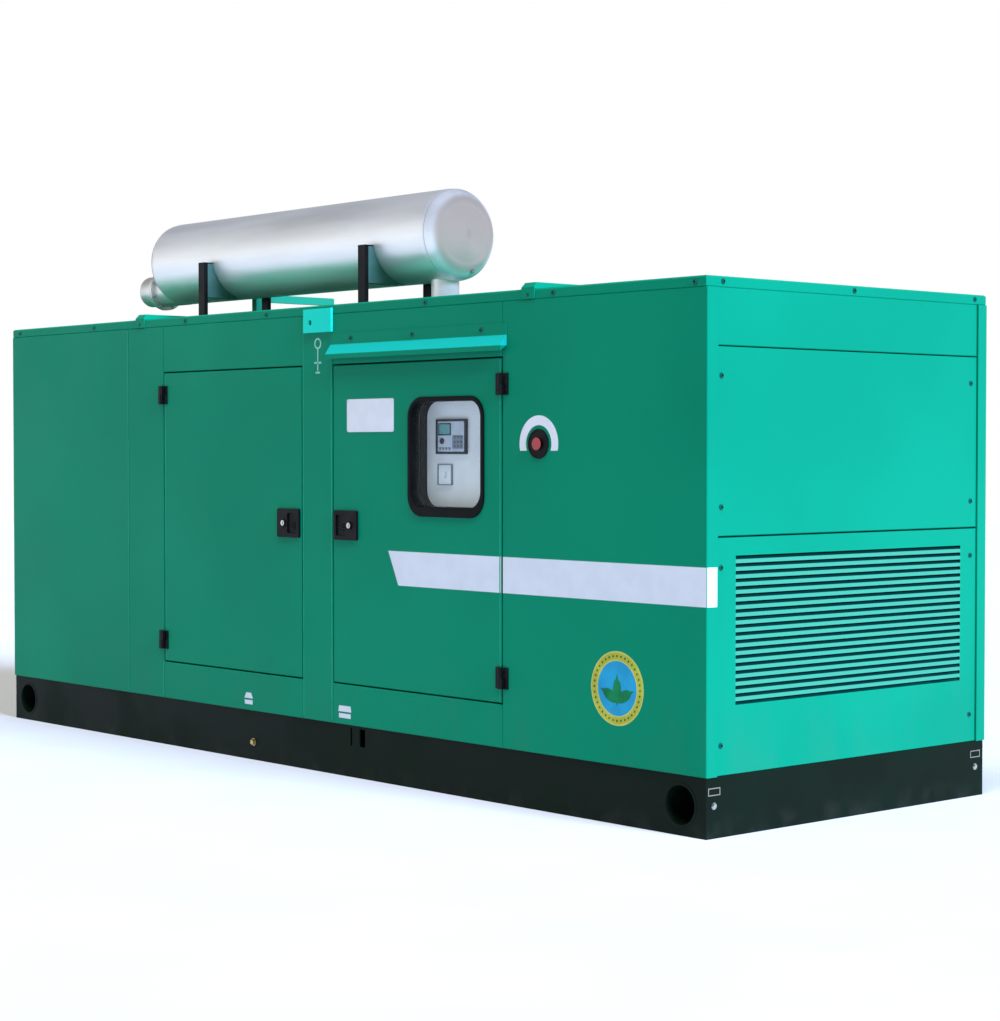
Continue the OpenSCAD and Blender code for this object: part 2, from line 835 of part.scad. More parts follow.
// Generator end: bell housing, finned frame, end bell, terminal box and feet
module alternator() {
    r = 330;
    fins = 28;
    color(machine_green) translate([x_coupling, 0, z_shaft]) {
        turned_x([[0, 0], [0, 370], [30, 370], [50, 340], [110, 300], [110, 312], [740, 312],
            [760, 296], [840, 290], [850, 200], [920, 190], [930, 170], [930, 0]]);
        for (i = [0 : fins - 1])
            rotate([i * 360 / fins, 0, 0]) translate([130, -5, 300]) cube([590, 10, r - 300]);
        translate([250, 0, r - 40]) section_x(440, [[230, 0], [230, 250], [200, 290]]);
        for (s = [-1, 1]) translate([180, s * 250 - 60, base_h - z_shaft]) {
            cube([480, 120, 16]);
            translate([0, 50, 0]) cube([480, 20, z_shaft - base_h - 130]);
        }
    }
}

// Six-cylinder engine: block, sump, heads with covers, manifolds, filters, pulleys and mounts
module engine() {
    cylinders = 6;
    pitch = 172;
    first = -1125;
    port_r = 26;
    port_l = -y_manifold - 160;
    manifold_l = 1060;
    color(machine_green) translate([x_coupling, 0, z_shaft]) {
        turned_x([[-130, 0], [-130, 300], [-60, 340], [-20, 370], [0, 370], [0, 0]]);
        translate([-1220, 0, 0])
            section_x(1100, [[205, -170], [230, -140], [230, 40], [190, 90], [190, 335]]);
        translate([-1190, 0, 0]) section_x(1040, [[140, -310], [170, -290], [200, -150]]);
        translate([-760, 0, 0]) section_x(600, [[120, -420], [150, -400], [190, -200]]);
        for (i = [0 : cylinders - 1]) translate([first + i * pitch, 0, 0]) {
            translate([-78, -170, 330]) cube([156, 340, 85]);
            translate([-66, 0, 410]) section_x(132, [[125, 0], [125, 45], [95, 75]]);
            translate([0, y_manifold, z_manifold]) bar_y(port_r, port_l);
            translate([0, 160, z_manifold]) bar_y(port_r, port_l);
            for (s = [-1, 1]) translate([-86, s * 222 - 14, -130]) cube([16, 28, 160]);
        }
        translate([first - 60, y_manifold, z_manifold]) bar_x(42, manifold_l);
        translate([first - 60, -y_manifold - 40, z_manifold - 50]) cube([manifold_l - 40, 80, 100]);
        translate([-140, y_turbo_flange, z_manifold]) bar_y(46, y_manifold - y_turbo_flange);
        translate([-900, -230, 60]) filters();
        front_drive();
        for (x = [-1080, -300], s = [-1, 1]) {
            translate([x, s * 270 - 60, -120]) cube([120, 120, 60]);
            translate([x + 60, s * 270, base_h - z_shaft]) cylinder(r = 50, h = z_shaft - base_h - 110);
        }
    }
}

// Two filter cans under their head, on the engine's door side
module filters() {
    can_r = 48;
    can_l = 190;
    translate([-70, -95, -30]) cube([260, 100, 50]);
    for (x = [0, 120]) translate([x, -45, -can_l]) rotate_extrude() polygon([[0, 0], [can_r - 8, 0],
        [can_r, 8], [can_r, can_l - 30], [can_r - 10, can_l - 10], [0, can_l - 10]]);
}

// Timing cover, crankshaft pulley, fan pulley and charging alternator at the engine's front
module front_drive() {
    translate([-1250, 0, 0]) section_x(40, [[190, -160], [190, 300], [120, 340]]);
    translate([-1300, 0, 0]) turned_x([[0, 0], [0, 60], [4, 120], [16, 120], [22, 108], [28, 120],
        [40, 120], [40, 70], [60, 70], [60, 0]]);
    translate([-1300, 0, z_fan - z_shaft]) turned_x([[0, 0], [0, 80], [12, 80], [18, 70], [24, 80],
        [36, 80], [36, 50], [60, 50], [60, 0]]);
    translate([-1300, 150, 90]) turned_x([[0, 0], [0, 45], [12, 45], [12, 75], [160, 75], [170, 50],
        [170, 0]]);
}

// Turbocharger on the exhaust manifold, with the pipe that turns up under the riser
module turbocharger() {
    pipe_r = inlet_d / 2 - 5;
    y_pipe = y_sil - y_turbo;
    color([0.35, 0.33, 0.31]) translate([x_coupling, y_turbo, z_shaft + z_manifold]) {
        translate([-300, 0, 0]) turned_x([[0, 0], [0, 50], [20, 55], [35, 88], [75, 92], [95, 60],
            [125, 48], [140, 60], [150, 78], [200, 78], [215, pipe_r],
            [300 + x_inlet - x_coupling, pipe_r], [300 + x_inlet - x_coupling, 0]]);
        translate([-140, 0, 0]) bar_y(46, y_turbo_flange - y_turbo);
        translate([x_inlet - x_coupling, 0, 0]) {
            sphere(r = pipe_r);
            translate([0, min(y_pipe, 0), 0]) bar_y(pipe_r, max(eps, abs(y_pipe)));
            translate([0, y_pipe, 0]) {
                sphere(r = inlet_d / 2);
                cylinder(d = inlet_d, h = z_riser - z_shaft - z_manifold);
                translate([0, 0, z_riser - z_shaft - z_manifold - 12]) cylinder(d = inlet_d + 50, h = 12);
            }
        }
    }
}

// Core between two header tanks, with side frames, feet and the shroud round the fan
module radiator() {
    w = 1240;
    h = 1300;
    core_t = 150;
    tank_t = 200;
    tank_h = 150;
    frame_w = 50;
    z0 = base_h + 90;
    color([0.1, 0.1, 0.11]) translate([x_radiator, 0, 0]) {
        translate([0, -w / 2, z0]) cube([core_t, w, h]);
        for (z = [z0, z0 + h - tank_h]) translate([core_t / 2, w / 2, z + tank_h / 2]) rotate([90, 0, 0])
            linear_extrude(w) round_rect(tank_t, tank_h, 24);
        for (s = [-1, 1]) {
            translate([core_t / 2 - tank_t / 2, s * (w - frame_w) / 2 - frame_w / 2, z0 + tank_h / 2])
                cube([tank_t, frame_w, h - tank_h]);
            translate([15, s * (w / 2 - 120) - 60, base_h]) cube([120, 120, 100]);
        }
        translate([core_t / 2, 200, z0 + h - 5]) cylinder(r = 35, h = 30);
        translate([core_t - 10, 0, z_fan]) rotate([0, 90, 0]) linear_extrude(shroud_l + 10) difference() {
            circle(fan_r + 32);
            circle(fan_r + 20);
        }
    }
}

// Eight-bladed fan on a shaft from the engine's front
module cooling_fan() {
    hub_r = 110;
    hub_l = 60;
    blades = 8;
    blade_t = 6;
    blade_w = 96;
    pitch = 32;
    color([0.1, 0.1, 0.11]) translate([x_fan, 0, z_fan]) {
        turned_x([[0, 0], [0, hub_r - 20], [10, hub_r], [hub_l, hub_r], [hub_l, 40],
            [x_engine_front - x_fan, 40], [x_engine_front - x_fan, 0]]);
        for (i = [0 : blades - 1]) rotate([i * 360 / blades, 0, 0]) translate([hub_l / 2, 0, hub_r - 15])
            rotate([0, 0, pitch]) translate([-blade_t / 2, -blade_w / 2, 0])
                cube([blade_t, blade_w, fan_r - hub_r + 15]);
    }
}

module exhaust_riser() {
    h = riser_top - z_riser;
    color(silver) translate([x_inlet, y_sil, z_riser]) rotate_extrude()
        polygon(concat([[0, 0], [inlet_d / 2 + 25, 0], [inlet_d / 2 + 25, 12], [inlet_d / 2, 12]],
            [for (i = [0 : 7]) each [[inlet_d / 2, 60 + i * 24], [inlet_d / 2 + 14, 66 + i * 24],
                [inlet_d / 2 + 14, 78 + i * 24]]],
            [[inlet_d / 2, 60 + 8 * 24], [inlet_d / 2, h - 12], [inlet_d / 2 + 25, h - 12],
                [inlet_d / 2 + 25, h], [0, h]]));
}

base_rail_front();
base_rail_back();
base_ends();
base_cross_members();
lifting_tubes();
base_floor();
front_panel_near();
front_post();
front_strip();
front_panel_far();
front_headers();
front_sills();
door_stops();
back_panels();
back_headers_sills();
back_doors();
back_door_fittings();
end_headers();
near_plain_panel();
near_louvre_panel();
far_plain_panel();
far_louvre_panel();
roof_near();
roof_middle();
roof_far();
roof_joint_caps();
rain_hood();
lifting_plates();
roof_lifting_frame();
silencer_shell();
silencer_inlet();
silencer_outlet();
silencer_saddles();
saddle_webs();
hinge_brackets();
door_right();
door_right_hinges();
door_right_latch();
window_rubber();
window_pane();
door_left();
door_left_hinges();
door_left_latch();
estop_housing();
estop_button();
control_cabinet();
cabinet_bezel();
alternator();
engine();
turbocharger();
cooling_fan();
radiator();
exhaust_riser();
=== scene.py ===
"""Looks of a silent diesel generator set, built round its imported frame.

The frame gives the structure: skid base, lined canopy, doors, silencer and the machine inside.
This script gives every node a finish and adds what a workshop adds last: fasteners, decals, the
window seal, weld beads and the control panel's face, in a plain pale studio.
"""

import logging
import math
from collections.abc import Callable, Iterable, Sequence
from dataclasses import dataclass
from enum import Enum

import bmesh
import bpy
from mathutils import Matrix, Vector


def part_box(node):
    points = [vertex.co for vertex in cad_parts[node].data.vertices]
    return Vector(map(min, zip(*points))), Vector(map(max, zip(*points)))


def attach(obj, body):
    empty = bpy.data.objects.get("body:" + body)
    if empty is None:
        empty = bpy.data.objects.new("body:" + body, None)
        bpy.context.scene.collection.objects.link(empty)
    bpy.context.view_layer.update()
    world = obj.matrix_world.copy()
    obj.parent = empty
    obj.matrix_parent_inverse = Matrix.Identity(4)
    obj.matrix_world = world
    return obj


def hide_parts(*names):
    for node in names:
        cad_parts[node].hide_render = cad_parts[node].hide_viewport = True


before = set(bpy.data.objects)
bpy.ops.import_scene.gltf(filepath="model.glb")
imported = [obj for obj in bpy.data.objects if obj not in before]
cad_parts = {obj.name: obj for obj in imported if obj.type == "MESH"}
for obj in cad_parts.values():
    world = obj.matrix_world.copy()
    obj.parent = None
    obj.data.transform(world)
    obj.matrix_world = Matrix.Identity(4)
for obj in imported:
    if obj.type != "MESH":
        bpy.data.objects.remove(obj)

LOG = logging.getLogger("generator_set")
MM = 0.001
EVEN = (1.0, 1.0, 1.0)
EARTH_STATIONS = (-0.764, 0.754)  # where the earth bolts and their plates stand across the near end
Colour = tuple[float, float, float]
Point = tuple[float, float, float]
Pair = tuple[float, float]
Spot = Sequence[float]
Socket = bpy.types.NodeSocket
FINISHES: dict[str, bpy.types.Material] = {}  # filled by the palette


class Facing(Enum):
    """The way a fastener or plate looks, as a unit vector."""

    FRONT = (0.0, -1.0, 0.0)
    BACK = (0.0, 1.0, 0.0)
    NEAR = (1.0, 0.0, 0.0)
    FAR = (-1.0, 0.0, 0.0)
    UP = (0.0, 0.0, 1.0)

    def turn(self) -> Matrix:
        """Rotation that takes +Z to this direction."""
        return Vector((0, 0, 1)).rotation_difference(Vector(self.value)).to_matrix().to_4x4()


class Body(Enum):
    """The moving bodies of the set."""

    ENCLOSURE = "enclosure"
    DOOR_RIGHT = "door_right"
    DOOR_LEFT = "door_left"


class Element(Enum):
    """What a pick selects, with the name of its list in a mesh."""

    VERT = "verts"
    EDGE = "edges"
    FACE = "faces"


@dataclass(frozen=True)
class Box:
    """An axis-parallel box in metres."""

    low: Vector
    high: Vector

    @classmethod
    def of(cls, node: str) -> "Box":
        """Box of a node of the frame at rest."""
        low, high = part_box(node)
        return cls(low, high)

    @property
    def centre(self) -> Vector:
        """Middle of the box."""
        return (self.low + self.high) / 2

    @property
    def size(self) -> Vector:
        """Length of the box along each axis."""
        return self.high - self.low


# ---------------------------------------------------------------- node graphs and finishes


class Graph:
    """Node tree of a material or world, with short calls for the nodes that it uses."""

    def __init__(self, owner: bpy.types.Material | bpy.types.World) -> None:
        """Opens the node tree of a new material or world.

        Args:
            owner: The material or world.
        """
        owner.use_nodes = True
        self.tree = owner.node_tree
        self.shader = self.tree.nodes.get("Principled BSDF")

    def add(self, kind: str, feeds: dict[int | str, object] | None = None, **settings: object) -> Sequence[Socket]:
        """Adds a node.

        Args:
            kind: The node's type, such as ShaderNodeMath.
            feeds: Socket or value for each input, by number or name.
            **settings: Properties to set on it.

        Returns:
            The node's outputs.
        """
        made = self.tree.nodes.new(kind)
        for key, value in settings.items():
            setattr(made, key, value)
        for key, value in (feeds or {}).items():
            self.feed(value, made.inputs[key])
        return made.outputs

    def feed(self, source: object, socket: Socket) -> None:
        """Links a socket, or sets a number, vector or colour, into an input.

        Args:
            source: An output socket, or the value itself.
            socket: The input to feed.
        """
        if isinstance(source, Socket):
            self.tree.links.new(source, socket)
        elif socket.type == "RGBA":
            socket.default_value = (*source, 1.0)
        else:
            socket.default_value = source

    def set(self, **values: object) -> None:
        """Feeds the shader's inputs, named with underscores for spaces, such as Base_Color."""
        for key, value in values.items():
            self.feed(value, self.shader.inputs[key.replace("_", " ")])

    def place(self, stretch: Point = EVEN) -> Socket:
        """Object coordinates.

        Args:
            stretch: Factor along each axis.

        Returns:
            The vector.
        """
        place = self.add("ShaderNodeTexCoord")["Object"]
        if stretch == EVEN:
            return place
        return self.add("ShaderNodeMapping", {"Vector": place, "Scale": stretch})["Vector"]

    def axis(self, name: str) -> Socket:
        """One object coordinate: X, Y or Z."""
        return self.add("ShaderNodeSeparateXYZ", {0: self.place()})[name]

    def noise(self, scale: float, detail: float, stretch: Point = EVEN) -> Socket:
        """Noise of so many cycles a metre and octaves of detail."""
        return self.add("ShaderNodeTexNoise", {"Scale": scale, "Detail": detail, "Vector": self.place(stretch)})["Fac"]

    def cells(self, scale: float) -> Socket:
        """Distance to the nearest point of a pattern of so many cells a metre."""
        return self.add("ShaderNodeTexVoronoi", {"Scale": scale, "Vector": self.place()})["Distance"]

    def maths(self, operation: str, first: object, second: object = 0.0) -> Socket:
        """One arithmetic step on sockets or numbers."""
        return self.add("ShaderNodeMath", {0: first, 1: second}, operation=operation)[0]

    def times(self, first: object, second: object) -> Socket:
        """Product of sockets or numbers."""
        return self.maths("MULTIPLY", first, second)

    def span(self, value: object, low: float, high: float, out_low: float = 0.0, out_high: float = 1.0) -> Socket:
        """Maps the range from low to high smoothly to another, and clamps it."""
        feeds = {"Value": value, "From Min": low, "From Max": high, "To Min": out_low, "To Max": out_high}
        return self.add("ShaderNodeMapRange", feeds, interpolation_type="SMOOTHSTEP")["Result"]

    def cloud(self, scale: float, detail: float, low: float, high: float, stretch: Point = EVEN) -> Socket:
        """Patches of noise: 0 where it is under low and 1 where it is over high."""
        return self.span(self.noise(scale, detail, stretch), low, high)

    def mix(self, factor: object, first: object, second: object) -> Socket:
        """Blends two colours, with factor 0 for the first."""
        return self.add("ShaderNodeMix", {"Factor": factor, 6: first, 7: second}, data_type="RGBA")[2]

    def tones(self, factor: object, colour: Colour, dark: float, light: float) -> Socket:
        """Blends a darker tone of a colour into a lighter one."""
        return self.mix(factor, *(tuple(min(1.0, c * share) for c in colour) for share in (dark, light)))

    def inside(self, box: Box) -> Socket:
        """Mask that is 1 inside a box.

        Args:
            box: The region.

        Returns:
            The mask.
        """
        offset = self.add("ShaderNodeVectorMath", {0: self.place(), 1: box.centre}, operation="SUBTRACT")[0]
        reach = self.add("ShaderNodeVectorMath", {0: offset}, operation="ABSOLUTE")[0]
        depth = self.add("ShaderNodeVectorMath", {0: reach, 1: box.size / 2}, operation="SUBTRACT")[0]
        x, y, z = self.add("ShaderNodeSeparateXYZ", {0: depth})
        return self.maths("LESS_THAN", self.maths("MAXIMUM", self.maths("MAXIMUM", x, y), z), 0.0)

    def bump(self, height: Socket, strength: float, distance: float) -> None:
        """Tilts the shader's normal by a height, on top of any earlier bump.

        Args:
            height: The height.
            strength: Share of the effect.
            distance: Height of a full step in metres.
        """
        normal = self.shader.inputs["Normal"]
        feeds = {"Height": height, "Strength": strength, "Distance": distance}
        if normal.links:
            feeds["Normal"] = normal.links[0].from_socket
        self.feed(self.add("ShaderNodeBump", feeds)[0], normal)

    def grain(self, scale: float, detail: float, strength: float, distance: float, stretch: Point = EVEN) -> None:
        """Bumps the surface with noise."""
        self.bump(self.noise(scale, detail, stretch), strength, distance)


@dataclass(frozen=True)
class Finish:
    """A finish with a name; each kind paints a graph of its own."""

    name: str

    def build(self) -> None:
        """Makes the material and keeps it under its name."""
        FINISHES[self.name] = bpy.data.materials.new(self.name)
        self.paint(Graph(FINISHES[self.name]))

    def paint(self, graph: Graph) -> None:
        """Feeds the shader of a material's graph."""
        raise NotImplementedError


@dataclass(frozen=True)
class SheetPaint(Finish):
    """Satin paint on sheet steel, with vinyl and foam lining on the surfaces inside its boxes."""

    colour: Colour = (0.0012, 0.20, 0.107)
    roughness: float = 0.36
    linings: tuple[Box, ...] = ()
    labels: tuple[Box, ...] = ()
    vinyl: Colour = (0.57, 0.61, 0.67)
    foam: Colour = (0.018, 0.018, 0.02)
    foam_depth: float = 9 * MM
    gloss: Colour = (0.06, 0.8, 0.65)
    dust_low: float = 0.22
    dust_high: float = 0.62

    def paint(self, graph: Graph) -> None:
        """Drifting tone, orange peel and dust near the ground, then vinyl and foam.

        Args:
            graph: The material's graph.
        """
        low = graph.span(graph.axis("Z"), self.dust_low, self.dust_high, 1.0, 0.0)
        dust = graph.times(low, graph.cloud(7.0, 5.0, 0.42, 0.72, (1.0, 1.0, 0.35)))
        dusty = tuple(0.8 * c + 0.02 for c in self.colour)
        colour = graph.mix(graph.times(dust, 0.3), self.coat(graph), dusty)
        rough = graph.span(graph.noise(2.4, 4.0), 0.3, 0.7, self.roughness - 0.04, self.roughness + 0.06)
        rough = graph.maths("ADD", rough, graph.times(dust, 0.15))
        graph.grain(3.1, 1.0, 0.25, 1.6 * MM, (1.0, 1.0, 0.6))
        graph.grain(420.0, 1.0, 0.10, 0.12 * MM)
        for label in self.labels:
            colour = graph.mix(graph.inside(label), colour, self.vinyl)
        for lining in self.linings:
            lined = graph.inside(lining)
            foam = graph.tones(graph.cloud(160.0, 4.0, 0.3, 0.75), self.foam, 0.6, 1.7)
            colour = graph.mix(lined, colour, foam)
            rough = graph.maths("MAXIMUM", rough, graph.times(lined, 0.93))
            graph.bump(graph.times(lined, graph.span(graph.cells(26.0), 0.0, 0.6)), 0.8, self.foam_depth)
        graph.set(Base_Color=colour, Roughness=rough, Specular_IOR_Level=0.06, Specular_Tint=self.gloss)

    def coat(self, graph: Graph) -> Socket:
        """Tone of the coat, which drifts slowly from place to place."""
        return graph.tones(graph.cloud(0.9, 2.0, 0.35, 0.65), self.colour, 0.94, 1.05)


@dataclass(frozen=True)
class HoodPaint(SheetPaint):
    """Sheet paint with a painted highlight: paler between two heights, on the slope that faces the light."""

    # painted highlight on the hood's slope
    pale: Colour = (0.006, 0.38, 0.31)
    foot: float = 0.0
    head: float = 0.0
    blur: float = 2 * MM

    def coat(self, graph: Graph) -> Socket:
        """Tone of the coat, with the painted highlight between the two heights.

        Args:
            graph: The material's graph.

        Returns:
            The colour.
        """
        height = graph.axis("Z")
        rise = graph.span(height, self.foot - self.blur, self.foot + self.blur)
        fall = graph.span(height, self.head - self.blur, self.head + self.blur, 1.0, 0.0)
        return graph.mix(graph.times(rise, fall), super().coat(graph), self.pale)


@dataclass(frozen=True)
class LouvrePaint(SheetPaint):
    """Sheet paint on a louvre field, with a painted highlight on the lips of the slats and painted shade between them.
    """

    # the first colour is a painted highlight on the lips of the slats, the second is painted shade between them
    pale: Colour = (0.040, 0.25, 0.155)
    painted_shade: Colour = (0.0004, 0.025, 0.020)
    face: float = 0.0
    field_half: float = 0.653
    foot: float = 0.472
    head: float = 1.005
    lip: float = 0.4 * MM
    blur: float = 2 * MM

    def coat(self, graph: Graph) -> Socket:
        """Tone of the coat by its depth behind the panel's face: the painted highlight on the lips, painted shade
        deeper in.

        Args:
            graph: The material's graph.

        Returns:
            The colour.
        """
        reach = self.face + 0.1
        slats = Box(Vector((-reach, -self.field_half, self.foot)), Vector((reach, self.field_half, self.head)))
        lips = graph.mix(graph.inside(slats), super().coat(graph), self.pale)
        depth = graph.maths("SUBTRACT", self.face, graph.maths("ABSOLUTE", graph.axis("X")))
        return graph.mix(graph.span(depth, self.lip, self.lip + self.blur), lips, self.painted_shade)


@dataclass(frozen=True)
class BasePaint(Finish):
    """Dull dark paint of the skid base, dusty and scuffed towards the ground."""

    name: str = "base_paint"
    colour: Colour = (0.0026, 0.0080, 0.0042)
    dust: Colour = (0.025, 0.028, 0.024)
    dust_high: float = 0.10

    def paint(self, graph: Graph) -> None:
        """Clouded paint with grime low down, on a slightly uneven plate.

        Args:
            graph: The material's graph.
        """
        cloud = graph.cloud(3.0, 5.0, 0.35, 0.7)
        low = graph.span(graph.axis("Z"), 0.0, self.dust_high, 1.0, 0.0)
        grime = graph.times(low, graph.cloud(11.0, 6.0, 0.42, 0.75))
        colour = graph.mix(graph.times(grime, 0.35), graph.tones(cloud, self.colour, 0.8, 1.3), self.dust)
        graph.grain(230.0, 2.0, 0.15, 0.25 * MM)
        graph.grain(4.0, 2.0, 0.2, 1.5 * MM)
        graph.set(Base_Color=colour, Roughness=graph.span(cloud, 0.0, 1.0, 0.42, 0.6), Specular_IOR_Level=0.07)


@dataclass(frozen=True)
class AluminiumPaint(Finish):
    """Heat-proof aluminium paint on rolled steel, with painted shade in a warm tone on the near head, and tanned at
    the outlet.
    """

    name: str = "silver_paint"
    colour: Colour = (0.89, 0.88, 0.86)
    # painted shade on the near head, in a warm tone
    head_shade: Colour = (0.66, 0.56, 0.48)
    head_shade_from: float = 0.0
    head_shade_blur: float = 18 * MM
    stain: Colour = (0.36, 0.31, 0.26)
    stain_from: float = -1.45
    stain_reach: float = 0.4

    def paint(self, graph: Graph) -> None:
        """Rolling marks along x, with painted shade on the near head and heat stain at the far end.

        Args:
            graph: The material's graph.
        """
        bands = graph.cloud(9.0, 4.0, 0.3, 0.7, (0.12, 1.0, 1.0))
        # painted shade over the near head's knuckle and face
        near = graph.span(graph.axis("X"), self.head_shade_from, self.head_shade_from + self.head_shade_blur)
        colour = graph.mix(near, graph.tones(bands, self.colour, 0.88, 1.06), self.head_shade)
        far = graph.span(graph.axis("X"), self.stain_from, self.stain_from - self.stain_reach)
        heat = graph.times(far, graph.cloud(5.0, 5.0, 0.35, 0.7))
        graph.grain(380.0, 2.0, 0.12, 0.15 * MM)
        graph.grain(6.0, 3.0, 0.25, 2 * MM, (0.3, 1.0, 1.0))
        graph.set(Base_Color=graph.mix(graph.times(heat, 0.5), colour, self.stain), Metallic=0.8,
                  Roughness=graph.span(bands, 0.0, 1.0, 0.38, 0.48))


@dataclass(frozen=True)
class Coating(Finish):
    """An even coat or moulded plastic: colour, gloss and a fine grain."""

    colour: Colour
    roughness: float
    grain: float = 300.0
    grain_height: float = 0.1
    metallic: float = 0.0
    tone: float = 0.12
    specular: float = 0.4

    def paint(self, graph: Graph) -> None:
        """Slightly clouded colour and gloss.

        Args:
            graph: The material's graph.
        """
        cloud = graph.cloud(14.0, 4.0, 0.3, 0.7)
        graph.grain(self.grain, 2.0, self.grain_height, 0.2 * MM)
        graph.set(Base_Color=graph.tones(cloud, self.colour, 1 - self.tone, 1 + self.tone),
                  Roughness=graph.span(cloud, 0.0, 1.0, self.roughness - 0.04, self.roughness + 0.06),
                  Metallic=self.metallic, Specular_IOR_Level=self.specular)


@dataclass(frozen=True)
class Vinyl(Coating):
    """Smooth printed foil."""

    roughness: float = 0.4
    grain: float = 900.0
    grain_height: float = 0.03
    specular: float = 0.1


@dataclass(frozen=True)
class WindowGlass(Finish):
    """Clear flat pane that lets the control panel show."""

    name: str = "glass"
    tint: Colour = (0.02, 0.035, 0.04)

    def paint(self, graph: Graph) -> None:
        """Mostly open, with a smooth surface that mirrors the studio."""
        graph.set(Base_Color=self.tint, Roughness=0.04, Alpha=0.07, IOR=1.5, Specular_IOR_Level=1.0)


@dataclass(frozen=True)
class CastMachine(Finish):
    """Painted cast iron of the engine and alternator, oily in its corners."""

    name: str = "machine_paint"
    colour: Colour = (0.02, 0.14, 0.11)
    oil: Colour = (0.012, 0.012, 0.01)

    def paint(self, graph: Graph) -> None:
        """Rough cast paint with smooth dark patches of oil.

        Args:
            graph: The material's graph.
        """
        oil = graph.cloud(4.0, 3.0, 0.55, 0.8, (1.0, 1.0, 0.4))
        colour = graph.tones(graph.cloud(8.0, 6.0, 0.35, 0.7), self.colour, 0.6, 1.15)
        graph.grain(120.0, 5.0, 0.35, 0.6 * MM)
        graph.set(Base_Color=graph.mix(graph.times(oil, 0.6), colour, self.oil),
                  Roughness=graph.span(oil, 0.0, 1.0, 0.55, 0.3))


@dataclass(frozen=True)
class RadiatorFins(Finish):
    """Matt black radiator, with fine fins across its core."""

    name: str = "radiator_black"
    clean: Colour = (0.015, 0.015, 0.016)
    dusty: Colour = (0.045, 0.042, 0.038)
    pitch: float = 3.2 * MM

    def paint(self, graph: Graph) -> None:
        """Fins as waves up z, under patches of dust.

        Args:
            graph: The material's graph.
        """
        wave = graph.maths("SINE", graph.times(graph.axis("Z"), 2 * math.pi / self.pitch))
        graph.bump(wave, 0.5, 1 * MM)
        colour = graph.mix(graph.cloud(9.0, 5.0, 0.4, 0.75), self.clean, self.dusty)
        graph.set(Base_Color=colour, Roughness=0.62, Metallic=0.3)


@dataclass(frozen=True)
class HotSteel(Finish):
    """Bare steel that exhaust heat has coloured."""

    name: str = "pipe_steel"
    straw: Colour = (0.30, 0.20, 0.13)
    grey: Colour = (0.42, 0.38, 0.36)
    blue: Colour = (0.16, 0.17, 0.28)

    def paint(self, graph: Graph) -> None:
        """Straw, grey and blue temper colours.

        Args:
            graph: The material's graph.
        """
        cloud = graph.cloud(10.0, 6.0, 0.3, 0.7)
        temper = graph.times(graph.cloud(3.0, 2.0, 0.5, 0.7), 0.35)
        graph.grain(200.0, 4.0, 0.2, 0.2 * MM)
        graph.set(Base_Color=graph.mix(temper, graph.mix(cloud, self.straw, self.grey), self.blue), Metallic=0.85,
                  Roughness=graph.span(cloud, 0.0, 1.0, 0.35, 0.6))


@dataclass(frozen=True)
class FloorPaint(Finish):
    """Matt pale floor of the studio."""

    name: str = "studio_floor"

    def paint(self, graph: Graph) -> None:
        """An almost even grey."""
        colour = graph.mix(graph.cloud(1.2, 3.0, 0.3, 0.7), (0.55, 0.55, 0.55), (0.57, 0.57, 0.57))
        graph.set(Base_Color=colour, Roughness=0.95, Specular_IOR_Level=0.1)


